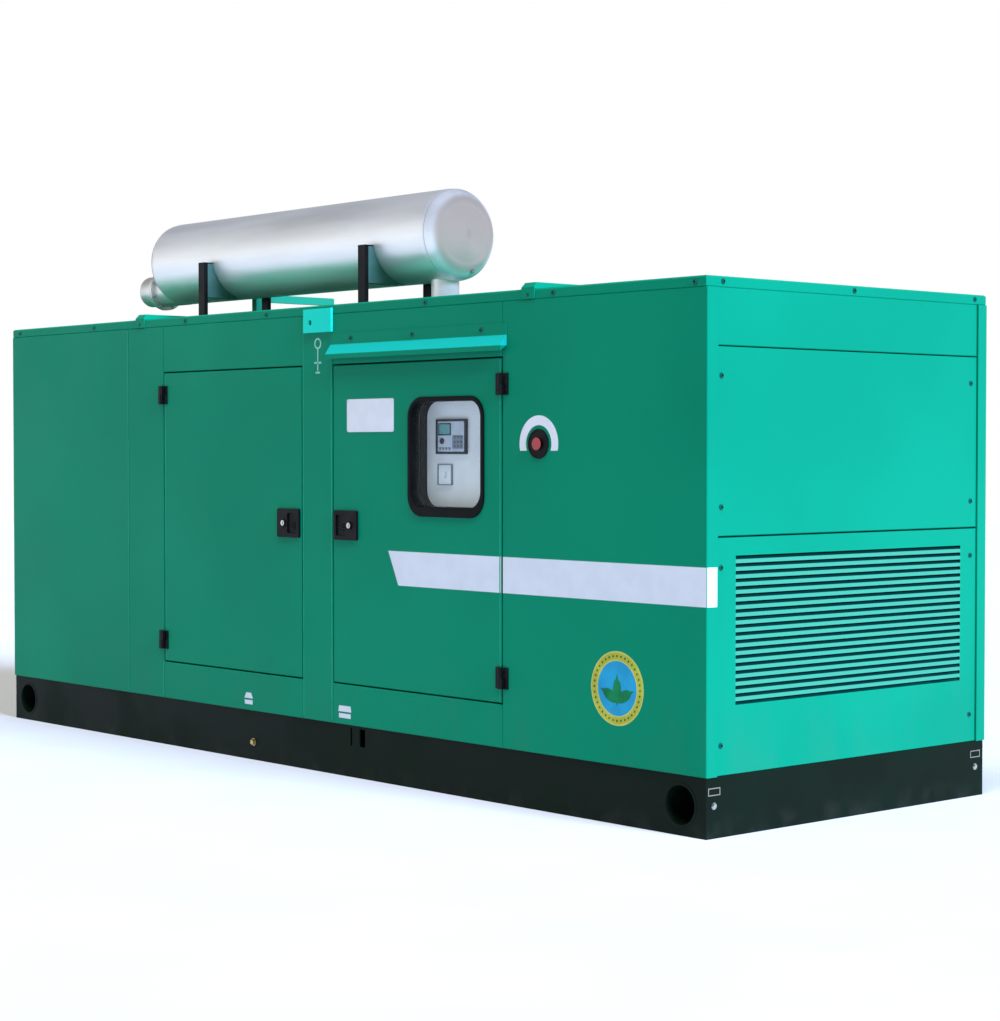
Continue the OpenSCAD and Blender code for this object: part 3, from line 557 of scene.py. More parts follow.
@dataclass
class Palette:
    """Every finish of the set, each built once."""

    skin: float = 0.5 * MM
    band_edge: float = 3 * MM
    leaf_margin: float = 34 * MM
    slope_foot: float = 20 * MM
    slope_head: float = 62 * MM
    # how far back from the near end the painted shade on the silencer's head starts
    head_shade_inset: float = 34 * MM

    def build(self) -> None:
        """Builds the materials."""
        room = (self.room(),)
        slope = Box.of("rain_hood").low.z
        for finish in (
                SheetPaint("canopy_paint", linings=room),
                SheetPaint("corner_paint", linings=room, labels=(self.corner_band(),)),
                SheetPaint("door_right_paint", linings=(self.leaf_lining("door_right", -1),)),
                SheetPaint("door_left_paint", linings=(self.leaf_lining("door_left", -1),)),
                SheetPaint("back_doors_paint", linings=tuple(self.leaf_lining(leaf, 1)
                                                             for leaf in ("door_right", "door_left"))),
                SheetPaint("trim_paint", (0.008, 0.60, 0.46), roughness=0.3),
                SheetPaint("frame_paint", (0.014, 0.22, 0.13), roughness=0.3),
                HoodPaint("hood_paint", foot=slope + self.slope_foot, head=slope + self.slope_head),
                LouvrePaint("louvre_paint", linings=room, face=Box.of("near_louvre_panel").high.x),
                BasePaint(),
                AluminiumPaint(head_shade_from=Box.of("silencer_shell").high.x - self.head_shade_inset),
                WindowGlass(),
                CastMachine(),
                RadiatorFins(),
                HotSteel(),
                FloorPaint(),
                Coating("black_metal", (0.0045, 0.0045, 0.005), 0.42, tone=0.2, specular=0.12),
                Coating("black_plastic", (0.004, 0.004, 0.0045), 0.5, grain=700.0, specular=0.12),
                Coating("red_plastic", (0.34, 0.035, 0.035), 0.4, grain=500.0, grain_height=0.03),
                Coating("rubber", (0.004, 0.0045, 0.005), 0.62, grain=500.0, specular=0.1),
                Coating("cabinet_paint", (0.84, 0.95, 0.98), 0.4, grain=600.0, tone=0.03),
                # darker than the canopy paint: painted shade on the bolt heads
                Coating("bolt_paint", (0.0008, 0.066, 0.046), 0.4, grain=500.0, specular=0.3),
                # paler than the canopy paint: painted highlight on the rolled edges
                Coating("seam_paint", (0.005, 0.25, 0.148), 0.4, grain=500.0, specular=0.1),
                Vinyl("white_vinyl", (0.57, 0.61, 0.67), 0.45, tone=0.03),
                Vinyl("plate_white", (0.62, 0.64, 0.68), 0.45, tone=0.03),
                Vinyl("warm_vinyl", (0.19, 0.17, 0.13), 0.5),
                Vinyl("faded_vinyl", (0.20, 0.50, 0.41), 0.42, tone=0.15, specular=0.4),
                Vinyl("yellow_vinyl", (0.42, 0.40, 0.035)),
                Vinyl("pale_vinyl", (0.46, 0.50, 0.13), tone=0.08),
                Vinyl("blue_vinyl", (0.014, 0.29, 0.50), tone=0.1),
                Vinyl("leaf_vinyl", (0.002, 0.17, 0.055), tone=0.25),
                Coating("zinc", (0.62, 0.62, 0.60), 0.32, metallic=1.0, tone=0.1),
                Coating("brass", (0.55, 0.42, 0.20), 0.35, metallic=1.0, tone=0.1),
                Coating("web_paint", (0.08, 0.19, 0.17), 0.4, metallic=0.6, tone=0.1, specular=0.3),
                Coating("weld_silver", (0.55, 0.56, 0.57), 0.45, metallic=0.7, grain=260.0, grain_height=0.6),
                Coating("instrument_black", (0.012, 0.022, 0.04), 0.35, grain=600.0, specular=0.25),
                Coating("instrument_grey", (0.22, 0.30, 0.38), 0.45, grain=600.0),
                Coating("screen_teal", (0.08, 0.40, 0.42), 0.18, grain_height=0.0),
                Coating("screen_pale", (0.50, 0.62, 0.74), 0.2, grain_height=0.0)):
            finish.build()

    def room(self) -> Box:
        """Space inside the canopy, grown by a skin so that its walls are in it.

        Returns:
            The region.
        """
        skin = self.skin * Vector(EVEN)
        low = Vector((Box.of("far_plain_panel").high.x, Box.of("front_panel_near").high.y,
                      Box.of("base_floor").high.z))
        high = Vector((Box.of("near_plain_panel").low.x, Box.of("back_panels").low.y, Box.of("roof_middle").low.z))
        return Box(low - skin, high + skin)

    def corner_band(self) -> Box:
        """Part of the front panel's end edge that the white band covers.

        Returns:
            The region.
        """
        panel, skin = Box.of("front_panel_near"), self.skin
        return Box(Vector((panel.high.x - skin, panel.low.y - skin, Decals.band_foot)),
                   Vector((panel.high.x + skin, panel.high.y - self.band_edge, Decals.band_head)))

    def leaf_lining(self, leaf: str, side: int) -> Box:
        """Region of the foam on a door leaf: its inner face, less a bare margin.

        Args:
            leaf: The leaf's node.
            side: -1 for the leaf itself, 1 for its twin in the back wall.

        Returns:
            The region.
        """
        box, margin = Box.of(leaf), self.leaf_margin
        inner = min(abs(box.low.y), abs(box.high.y))
        reach = sorted((side * (inner + self.skin), 0.0))
        return Box(Vector((box.low.x + margin, reach[0], box.low.z + margin)),
                   Vector((box.high.x - margin, reach[1], box.high.z - margin)))


def dress(finish: str, *nodes: str) -> None:
    """Gives nodes of the frame their finish.

    Args:
        finish: Name of the finish.
        *nodes: Names of the nodes.
    """
    for node in nodes:
        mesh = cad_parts[node].data
        mesh.materials.clear()
        mesh.materials.append(FINISHES[finish])


# ---------------------------------------------------------------- modelling


class Shape:
    """A mesh under work: operators on elements that are picked by place or normal.

    The methods that work on a shape return it, so that steps can follow one another.
    """

    def __init__(self, obj: bpy.types.Object) -> None:
        """Wraps a mesh object."""
        self.obj = obj

    @staticmethod
    def clear() -> None:
        """Leaves edit mode and deselects everything."""
        if bpy.context.object and bpy.context.object.mode != "OBJECT":
            bpy.ops.object.mode_set(mode="OBJECT")
        bpy.ops.object.select_all(action="DESELECT")

    @classmethod
    def start(cls, name: str, finish: str, primitive: Callable[..., object], **settings: object) -> "Shape":
        """Starts from a mesh primitive, with its place put into its mesh.

        Args:
            name: The piece's name.
            finish: Its finish.
            primitive: The operator that adds it.
            **settings: Settings of the operator.

        Returns:
            The shape.
        """
        cls.clear()
        primitive(**settings)
        obj = bpy.context.active_object
        obj.name = obj.data.name = name
        bpy.ops.object.transform_apply(location=True, rotation=True, scale=True)
        obj.data.materials.append(FINISHES[finish])
        return cls(obj)

    @classmethod
    def block(cls, name: str, low: Spot, high: Spot, finish: str) -> "Shape":
        """Starts from a block between two corners."""
        size, middle = Vector(high) - Vector(low), (Vector(low) + Vector(high)) / 2
        return cls.start(name, finish, bpy.ops.mesh.primitive_cube_add, size=1, location=middle, scale=size)

    @classmethod
    def disc(cls, name: str, foot: Spot, facing: Facing, radius: float, depth: float, finish: str,
             sides: int) -> "Shape":
        """Starts from a round slab, whose back stands on its foot and whose front looks one way."""
        place = {"location": Vector(foot) + Vector(facing.value) * depth / 2, "rotation": facing.turn().to_euler()}
        return cls.start(name, finish, bpy.ops.mesh.primitive_cylinder_add, vertices=sides, radius=radius,
                         depth=depth, **place)

    @classmethod
    def bead(cls, name: str, centre: Spot, facing: Facing, radius: float, size: float, squash: Point,
             finish: str, sides: int) -> "Shape":
        """Starts from a weld bead round a circle, squashed by a factor along each axis."""
        ring = cls.start(name, finish, bpy.ops.mesh.primitive_torus_add, major_segments=sides, minor_segments=6,
                         major_radius=radius, minor_radius=size, location=centre, rotation=facing.turn().to_euler())
        return ring.pick(Element.VERT, lambda v: True).scale(squash, centre)

    def edit(self) -> None:
        """Enters edit mode on this object alone."""
        if bpy.context.object is not self.obj or self.obj.mode != "EDIT":
            self.clear()
            bpy.context.view_layer.objects.active = self.obj
            self.obj.select_set(True)
            bpy.ops.object.mode_set(mode="EDIT")

    def pick(self, kind: Element, test: Callable[[object], bool]) -> "Shape":
        """Selects the elements that pass a test.

        Args:
            kind: What to select.
            test: Called with each element.

        Returns:
            This shape.
        """
        self.edit()
        bpy.ops.mesh.select_mode(type=kind.name)
        bpy.ops.mesh.select_all(action="DESELECT")
        mesh = bmesh.from_edit_mesh(self.obj.data)
        for item in getattr(mesh, kind.value):
            if test(item):
                item.select_set(True)
        bmesh.update_edit_mesh(self.obj.data)
        return self

    def keep(self, test: Callable[[bmesh.types.BMVert], bool]) -> "Shape":
        """Narrows what is picked to the vertices that pass a test.

        Args:
            test: Called with each picked vertex.

        Returns:
            This shape.
        """
        bpy.ops.mesh.select_mode(type="VERT")
        mesh = bmesh.from_edit_mesh(self.obj.data)
        for vert in mesh.verts:
            if vert.select and not test(vert):
                vert.select_set(False)
        mesh.select_flush_mode()
        bmesh.update_edit_mesh(self.obj.data)
        return self

    def pick_side(self, facing: Facing) -> "Shape":
        """Selects the faces that look one way."""
        way = Vector(facing.value)
        return self.pick(Element.FACE, lambda f: f.normal.dot(way) > 0.95)

    def pick_along(self, facing: Facing) -> "Shape":
        """Selects the edges that run along a direction."""
        way = Vector(facing.value)
        return self.pick(Element.EDGE, lambda e: abs((e.verts[1].co - e.verts[0].co).normalized().dot(way)) > 0.98)

    def inset(self, width: float, depth: float = 0.0) -> "Shape":
        """Insets the picked faces by a rim, and moves the inner face out by a depth."""
        bpy.ops.mesh.inset(thickness=width, depth=depth)
        return self

    def extrude(self, move: Spot) -> "Shape":
        """Extrudes the picked faces along a move."""
        bpy.ops.mesh.extrude_region_move(TRANSFORM_OT_translate={"value": tuple(move)})
        return self

    def shift(self, move: Spot) -> "Shape":
        """Moves what is picked."""
        bpy.ops.transform.translate(value=tuple(move))
        return self

    def scale(self, factor: Spot, centre: Spot) -> "Shape":
        """Scales what is picked by a factor for each axis, about a centre."""
        bpy.ops.transform.resize(value=tuple(factor), center_override=tuple(centre))
        return self

    def bevel(self, width: float, segments: int) -> "Shape":
        """Bevels the picked edges in so many steps."""
        bpy.ops.mesh.bevel(offset=width, segments=segments, affect="EDGES")
        return self

    def pierce(self) -> "Shape":
        """Opens the mesh right through: deletes the two picked faces and joins their rims.

        Returns:
            This shape.
        """
        bpy.ops.mesh.delete(type="FACE")
        self.pick(Element.EDGE, lambda e: e.is_boundary)
        bpy.ops.mesh.bridge_edge_loops()
        return self

    def cut(self, point: Spot, facing: Facing) -> "Shape":
        """Cuts the whole mesh with a plane, keeps the side it looks to and closes the cut.

        Args:
            point: A point of the plane.
            facing: The way the plane looks.

        Returns:
            This shape.
        """
        self.pick(Element.FACE, lambda f: True)
        bpy.ops.mesh.bisect(plane_co=tuple(point), plane_no=facing.value, clear_inner=True, use_fill=True)
        return self

    def colour(self, finish: str) -> "Shape":
        """Gives the picked faces a finish of their own.

        Args:
            finish: The finish.

        Returns:
            This shape.
        """
        material = FINISHES[finish]
        names = [slot.name for slot in self.obj.material_slots]
        if material.name not in names:
            self.obj.data.materials.append(material)
            names.append(material.name)
        self.obj.active_material_index = names.index(material.name)
        bpy.ops.object.material_slot_assign()
        return self

    def copies(self, places: Iterable[Matrix], name: str) -> "Shape":
        """Copies this master to each place, joins the copies and removes the master.

        Args:
            places: Where each copy goes.
            name: Name of the set.

        Returns:
            The joined set.
        """
        self.clear()
        made = []
        for place in places:
            twin = self.obj.copy()
            twin.data = self.obj.data.copy()
            twin.matrix_world = place
            bpy.context.collection.objects.link(twin)
            made.append(twin)
        bpy.data.objects.remove(self.obj)
        for twin in made:
            twin.select_set(True)
        bpy.context.view_layer.objects.active = made[0]
        bpy.ops.object.transform_apply(location=True, rotation=True, scale=True)
        if len(made) > 1:
            bpy.ops.object.join()
        made[0].name = made[0].data.name = name
        return Shape(made[0])

    def join(self, *others: "Shape") -> "Shape":
        """Joins other shapes into this one.

        Args:
            *others: The shapes to take in.

        Returns:
            This shape.
        """
        self.clear()
        for shape in (*others, self):
            shape.obj.select_set(True)
        bpy.context.view_layer.objects.active = self.obj
        bpy.ops.object.join()
        return self

    def settle(self, body: Body = Body.ENCLOSURE, slot: str | None = None, smooth: float = 35.0) -> bpy.types.Object:
        """Finishes the piece: clean normals, smooth shading and its body.

        Args:
            body: The body that carries it.
            slot: Not used.
            smooth: Largest angle in degrees that is shaded smooth.

        Returns:
            The finished object.
        """
        self.edit()
        bpy.ops.mesh.select_all(action="SELECT")
        bpy.ops.mesh.remove_doubles(threshold=0.02 * MM)
        bpy.ops.mesh.normals_make_consistent(inside=False)
        self.clear()
        self.obj.select_set(True)
        bpy.context.view_layer.objects.active = self.obj
        bpy.ops.object.shade_smooth_by_angle(angle=math.radians(smooth))
        self.obj.select_set(False)
        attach(self.obj, body.value)
        LOG.info("%s: %d faces on %s", self.obj.name, len(self.obj.data.polygons), body.value)
        return self.obj


def annulus(name: str, foot: Spot, outer: float, inner: float, depth: float, finish: str, sides: int) -> Shape:
    """A flat ring on the door side, between two radii."""
    ring = Shape.disc(name, foot, Facing.FRONT, outer, depth, finish, sides)
    return ring.pick(Element.FACE, lambda f: abs(f.normal.y) > 0.9).inset(outer - inner).pierce()


def at(point: Spot, facing: Facing, turn: float = 0.0) -> Matrix:
    """Place on a point, looking one way and turned in degrees, for a master that looks along +Z."""
    spin = Matrix.Rotation(math.radians(turn), 4, "Z")
    return Matrix.Translation(Vector(point)) @ facing.turn() @ spin


def circle(centre: Spot, radius: float, count: int, first: float, facing: Facing,
           turn: float = 0.0) -> list[Matrix]:
    """Places spread evenly round a circle.

    Args:
        centre: Middle of the circle.
        radius: Its radius.
        count: Number of places.
        first: Angle of the first place in degrees.
        facing: The way the circle and its places look.
        turn: Turn of each copy about its own axis in degrees.

    Returns:
        The places.
    """
    way = Vector(facing.value)
    right, up = (Vector(axis) for axis in Matrix.Identity(3) if not way.dot(axis))
    angles = (math.radians(first + 360 * index / count) for index in range(count))
    return [at(Vector(centre) + radius * (math.cos(a) * right + math.sin(a) * up), facing, turn) for a in angles]


class Bolt:
    """A fastener that is modelled once and copied to its places."""

    def master(self, finish: str) -> Shape:
        """Models one bolt on the origin."""
        raise NotImplementedError

    def put(self, name: str, places: list[Matrix], finish: str = "zinc", body: Body = Body.ENCLOSURE) -> None:
        """Makes a named piece with one bolt at each place."""
        self.master(finish).copies(places, name).settle(body)


@dataclass(frozen=True)
class DomeBolt(Bolt):
    """Button-headed bolt with a washer and a dark socket, painted over with the panel."""

    radius: float = 11 * MM
    height: float = 5.4 * MM
    washer: float = 1.4 * MM
    socket: str = "black_metal"

    def master(self, finish: str) -> Shape:
        """Models one bolt on the origin.

        Args:
            finish: Its finish.

        Returns:
            The shape.
        """
        bolt = Shape.disc("bolt", (0, 0, 0), Facing.UP, self.radius, self.washer, finish, 18)
        bolt.pick_side(Facing.UP).inset(self.radius * 0.2)
        rise = (self.height - self.washer) / 3
        for factor in (0.95, 0.84, 0.66):
            bolt.extrude((0, 0, rise)).scale((factor, factor, 1), (0, 0, 0))
        return bolt.extrude((0, 0, -0.7 * self.height)).colour(self.socket)


@dataclass(frozen=True)
class HexBolt(Bolt):
    """Hexagon-headed bolt with a washer."""

    across: float
    head: float
    washer_radius: float
    washer: float

    def master(self, finish: str) -> Shape:
        """Models one bolt on the origin.

        Args:
            finish: Its finish.

        Returns:
            The shape.
        """
        bolt = Shape.disc("bolt", (0, 0, 0), Facing.UP, self.washer_radius, self.washer, finish, 20)
        bolt.pick(Element.EDGE, lambda e: all(v.co.z > 0.5 * self.washer for v in e.verts)).bevel(0.5 * MM, 1)
        corners = self.across / math.sqrt(3)
        head = Shape.disc("head", (0, 0, self.washer), Facing.UP, corners, self.head, finish, 6)
        head.pick_side(Facing.UP).inset(1.2 * MM).shift((0, 0, 1 * MM))
        return bolt.join(head)


# ---------------------------------------------------------------- sub-assemblies


@dataclass
class Decals:
    """Vinyl on the outside: white band, round emblem, bare plates and signs."""

    skin: float = 0.4 * MM
    band_edge: float = 3 * MM
    band_foot: float = 0.826
    band_head: float = 0.967
    band_tip_low: float = 0.714
    band_tip_high: float = 0.648
    emblem_radius: float = 0.138
    emblem_place: Pair = (1.998, 0.504)
    emblem_rims: tuple[tuple[float, str], ...] = (
        (5 * MM, "yellow_vinyl"), (26 * MM, "pale_vinyl"), (5 * MM, "blue_vinyl"))
    stud_radius: float = 4.6 * MM
    stud_edge: float = 18 * MM
    leaf_turns: tuple[float, ...] = (-66, 0, 66)
    plate_low: Pair = (0.371, 1.458)
    plate_high: Pair = (0.685, 1.596)
    plate_depth: float = 1.2 * MM
    plate_corner: float = 9 * MM
    sign_place: float = 0.112
    sign_height: float = 1.838
    sign_strokes: tuple[tuple[str, float, Pair], ...] = (
        ("stem", 3.5 * MM, (1.722, 1.814)), ("bar", 24 * MM, (1.752, 1.760)), ("foot", 15 * MM, (1.710, 1.718)))
    label_rows: tuple[tuple[float, float, float], ...] = ((-0.354, 71 * MM, 0.55), (0.351, 97 * MM, 0.9))

    def build(self) -> None:
        """Makes every decal."""
        self.band()
        self.emblem()
        self.plate()
        self.hook_sign()
        self.foot_labels()

    def flat(self, name: str, x: Spot, z: Spot, face: float, finish: str) -> Shape:
        """A flat decal on the door side, between two places and two heights."""
        return Shape.block(name, (x[0], face - self.skin, z[0]), (x[1], face, z[1]), finish)

    def band(self) -> None:
        """White band across the right door and the near panel; the corner paint takes it round the edge."""
        panel, leaf, edge = Box.of("front_panel_near"), Box.of("door_right"), self.band_edge
        heights = (self.band_foot, self.band_head)
        door = self.flat("band_on_door", (self.band_tip_high, leaf.high.x - edge), heights, panel.low.y, "white_vinyl")
        door.pick(Element.VERT, lambda v: v.co.x < self.band_tip_low and v.co.z < self.band_foot + edge)
        door.shift((self.band_tip_low - self.band_tip_high, 0, 0)).settle(Body.DOOR_RIGHT)
        ends = (panel.low.x + edge, panel.high.x - edge)
        self.flat("band_on_panel", ends, heights, panel.low.y, "white_vinyl").settle()

    def emblem(self) -> None:
        """Round sticker: pale rims, a yellow ring with plain studs, a blue field and three leaves."""
        x, z = self.emblem_place
        centre = Vector((x, Box.of("front_panel_near").low.y, z))
        disc = Shape.disc("emblem_disc", centre, Facing.FRONT, self.emblem_radius, self.skin, "pale_vinyl", 72)
        disc.pick_side(Facing.FRONT)
        for width, finish in self.emblem_rims:
            disc.inset(width).colour(finish)
        disc.settle()
        field = self.emblem_radius - sum(width for width, _ in self.emblem_rims)
        leaf = Shape.disc("leaf", (0, 0, 0), Facing.UP, 1.0, self.skin, "leaf_vinyl", 20)
        leaf.pick(Element.VERT, lambda v: True).scale((0.21 * field, 0.42 * field, 1), (0, 0, 0))
        for side in (-1, 1):
            leaf.pick(Element.VERT, lambda v: side * v.co.y > 0.415 * field).shift((0, side * 0.16 * field, 0))
        places = []
        for turn in self.leaf_turns:
            layer = self.skin * (1.0 + 0.3 * (turn == 0) + 0.15 * (turn > 0))
            foot = at(centre - Vector((0, layer, 0)), Facing.FRONT) @ Matrix.Translation((0, -0.42 * field, 0))
            spin = Matrix.Rotation(math.radians(turn), 4, "Z")
            places.append(foot @ spin @ Matrix.Translation((0, 0.36 * field, 0)))
        leaf.copies(places, "emblem_leaf_0").settle()
        stud = Shape.disc("stud", (0, 0, 0), Facing.UP, self.stud_radius, self.skin, "leaf_vinyl", 10)
        stud.pick_side(Facing.UP).inset(0.8 * MM)
        ring = self.emblem_radius - self.stud_edge
        places = circle(centre - Vector((0, self.skin, 0)), ring, 36, 0, Facing.FRONT)
        stud.copies(places, "emblem_studs").settle()

    def plate(self) -> None:
        """Bare white plate with rivets on the right door."""
        face = Box.of("door_right").low.y
        (left, foot), (right, head), front = self.plate_low, self.plate_high, face - self.plate_depth
        corner = self.plate_corner
        plate = Shape.block("door_plate", (left, front, foot), (right, face, head), "plate_white")
        plate.pick_along(Facing.FRONT).bevel(corner, 4)
        plate.pick_side(Facing.FRONT).inset(2.5 * MM, 0.2 * MM).settle(Body.DOOR_RIGHT)
        places = [at((x, front, z), Facing.FRONT) for x in (left + corner, right - corner)
                  for z in (foot + corner, head - corner)]
        rivet = DomeBolt(3.2 * MM, 1.8 * MM, 0.4 * MM, "zinc")
        rivet.put("door_plate_rivets", places, body=Body.DOOR_RIGHT)

    def hook_sign(self) -> None:
        """Plain lifting-point sign under the lifting plate: ring, stem and crossbars."""
        post = Box.of("front_post")
        x, face = post.low.x + self.sign_place, post.low.y
        ring = annulus("lifting_sign", (x, face, self.sign_height), 24 * MM, 17 * MM, self.skin, "faded_vinyl", 32)
        ring.join(*(self.flat(name, (x - half, x + half), heights, face, "faded_vinyl")
                    for name, half, heights in self.sign_strokes)).settle()

    def foot_labels(self) -> None:
        """Two small bare labels over the base, each a mark above a bar."""
        face = Box.of("front_sills").low.y
        for index, (x, width, taper) in enumerate(self.label_rows):
            bar, mark = (self.flat(name, (x - half, x + half), heights, face, "white_vinyl")
                         for name, half, heights in ((f"foot_label_{index}", width / 2.4, (0.247, 0.266)),
                                                     ("mark", width / 2.2, (0.274, 0.299))))
            mark.pick(Element.VERT, lambda v: v.co.z > 0.29).scale((taper, 1, 1), (x, face, 0.3))
            bar.join(mark).settle()


@dataclass
class Fasteners:
    """Bolts on the canopy, the hood, the lifting gear, the hinges and the base."""

    wall_columns: tuple[float, ...] = (0.080, 1.525)
    fascia_columns: tuple[float, ...] = (0.087, 0.808, 1.548)
    wall_rows: tuple[float, ...] = (1.647, 1.180, 0.964, 0.329)
    roof_stations: tuple[float, ...] = (0.06, 0.80, 1.56, 2.66, 3.30, 4.10, 4.82)
    hood_stations: tuple[float, ...] = (0.402, 0.810, 1.237)
    cap_width: float = 75 * MM
    hinge_height: float = 85 * MM
    hinge_edge: float = 13 * MM
    hinge_rise: float = 24 * MM
    earth_height: float = 0.117
    drain_place: Pair = (-0.323, 0.080)
    turned: float = 15

    def build(self) -> None:
        """Makes every set of bolts."""
        self.end_walls()
        self.roof_edge()
        self.hood()
        self.portal_feet()
        self.hinges()
        self.base()

    def end_walls(self) -> None:
        """Two columns of bolts on each end wall, and a row along the roof's edge over it."""
        front = Box.of("front_panel_near").low.y
        fascia = Box.of("roof_middle").high.z - 19 * MM
        for facing, tag in ((Facing.NEAR, "near"), (Facing.FAR, "far")):
            for kind, node, columns, rows in (("end", f"{tag}_plain_panel", self.wall_columns, self.wall_rows),
                                              ("fascia", f"roof_{tag}", self.fascia_columns, (fascia,))):
                box = Box.of(node)
                face = box.high.x if facing is Facing.NEAR else box.low.x
                places = [at((face, front + w, z), facing, self.turned) for z in rows for w in columns]
                DomeBolt().put(f"{tag}_{kind}_bolts", places, "bolt_paint")

    def roof_edge(self) -> None:
        """Bolts along the folded edge of the roof, and in the tabs of the joint caps."""
        roof, caps = Box.of("roof_middle"), Box.of("roof_joint_caps")
        near = Box.of("front_panel_near").high.x
        z = roof.high.z - 22 * MM
        for facing, y, tag in ((Facing.FRONT, roof.low.y, "front"), (Facing.BACK, roof.high.y, "back")):
            places = [at((near - s, y, z), facing, self.turned) for s in self.roof_stations]
            DomeBolt().put(f"roof_bolts_{tag}", places, "bolt_paint")
        places = [at((x, y, caps.low.z + 16 * MM), facing)
                  for x in (caps.low.x + self.cap_width / 2, caps.high.x - self.cap_width / 2)
                  for y, facing in ((caps.low.y, Facing.FRONT), (caps.high.y, Facing.BACK))]
        DomeBolt(7 * MM, 3.4 * MM, 1 * MM).put("joint_cap_bolts", places, "bolt_paint")

    def hood(self) -> None:
        """Bolts through the flange of the rain hood."""
        hood = Box.of("rain_hood")
        face, z = hood.high.y - 3 * MM, hood.high.z - 24 * MM
        places = [at((x, face, z), Facing.FRONT, self.turned) for x in self.hood_stations]
        DomeBolt().put("hood_bolts", places, "bolt_paint")

    def portal_feet(self) -> None:
        """Bolts at the feet of the roof lifting frame."""
        feet = Box.of("roof_lifting_frame")
        top = feet.low.z + 8 * MM
        places = [at((feet.centre.x + dx, y, top), Facing.UP) for dx in (-34 * MM, 34 * MM)
                  for y in (feet.low.y + 30 * MM, feet.high.y - 30 * MM)]
        HexBolt(13 * MM, 5 * MM, 10 * MM, 1.5 * MM).put("portal_bolts", places)

    def hinges(self) -> None:
        """Two small bolts on every hinge leaf of the door side."""
        low, high = self.hinge_edge, -self.hinge_edge
        for node, edges, body in (("hinge_brackets", (low, high), Body.ENCLOSURE),
                                  ("door_right_hinges", (low,), Body.DOOR_RIGHT),
                                  ("door_left_hinges", (high,), Body.DOOR_LEFT)):
            box = Box.of(node)
            places = [at((edge + (box.low.x if edge > 0 else box.high.x), box.low.y + 16 * MM, z + dz), Facing.FRONT)
                      for edge in edges
                      for z in (box.low.z + self.hinge_height / 2, box.high.z - self.hinge_height / 2)
                      for dz in (-self.hinge_rise, self.hinge_rise)]
            DomeBolt(5 * MM, 2.6 * MM, 0.6 * MM).put(f"{node}_bolts", places, "black_metal", body)

    def base(self) -> None:
        """Earth bolts and drain plug on the skid base."""
        near = Box.of("base_ends").high.x
        places = [at((near, y, self.earth_height), Facing.NEAR) for y in EARTH_STATIONS]
        HexBolt(18 * MM, 3 * MM, 13 * MM, 1.2 * MM).put("earth_bolts", places)
        x, z = self.drain_place
        place = at((x, Box.of("base_rail_front").low.y, z), Facing.FRONT)
        HexBolt(22 * MM, 9 * MM, 17 * MM, 3 * MM).put("drain_plug", [place], "brass")


@dataclass
class CanopyTrim:
    """Finishes of the canopy and its doors, and the rolled edges of its sheets."""

    roll: float = 3 * MM
    proud: float = 0.6 * MM
    end_gap: float = 12 * MM
    leaf_gap: float = 9 * MM

    def build(self) -> None:
        """Dresses the canopy and makes the rolled edges."""
        dress("corner_paint", "front_panel_near")
        dress("canopy_paint", "front_post", "front_strip", "front_panel_far", "front_headers", "front_sills",
              "back_panels", "back_headers_sills", "end_headers", "near_plain_panel", "far_plain_panel",
              "roof_near", "roof_middle", "roof_far", "roof_joint_caps")
        dress("louvre_paint", "near_louvre_panel", "far_louvre_panel")
        dress("trim_paint", "lifting_plates")
        dress("frame_paint", "roof_lifting_frame")
        dress("hood_paint", "rain_hood")
        for door in ("door_right", "door_left", "back_doors"):
            dress(f"{door}_paint", door)
        dress("black_metal", "hinge_brackets", "door_right_hinges", "door_left_hinges")
        dress("black_plastic", "back_door_fittings", "door_right_latch", "door_left_latch")
        dress("rubber", "door_stops")
        self.folded_edges()

    def folded_edges(self) -> None:
        """Slim rolled edges of the sheets beside the upright seams on the door side, painted paler as a painted
        highlight where they catch the light.
        """
        panel, strip, post = Box.of("front_panel_near"), Box.of("front_strip"), Box.of("front_post")
        left, right, gap = Box.of("door_left"), Box.of("door_right"), self.leaf_gap
        face, foot, head = panel.low.y, panel.low.z + self.end_gap, panel.high.z - self.end_gap
        for name, x, low, high, body in (
                ("edge_far_panel", strip.low.x - 5 * MM, foot, head, Body.ENCLOSURE),
                ("edge_strip", strip.high.x - 6 * MM, foot, left.low.z, Body.ENCLOSURE),
                ("edge_door_left", left.low.x + gap, left.low.z + gap, left.high.z - gap, Body.DOOR_LEFT),
                ("edge_post_far", post.low.x + 6 * MM, foot, head, Body.ENCLOSURE),
                ("edge_post_near", post.high.x - 7 * MM, foot, head, Body.ENCLOSURE),
                ("edge_door_right", right.high.x - gap, right.low.z + gap, right.high.z - gap, Body.DOOR_RIGHT)):
            corners = (x - self.roll, face - self.proud, low), (x + self.roll, face, high)
            Shape.block(name, *corners, "seam_paint").pick_side(Facing.FRONT).inset(1.2 * MM, 0.2 * MM).settle(body)


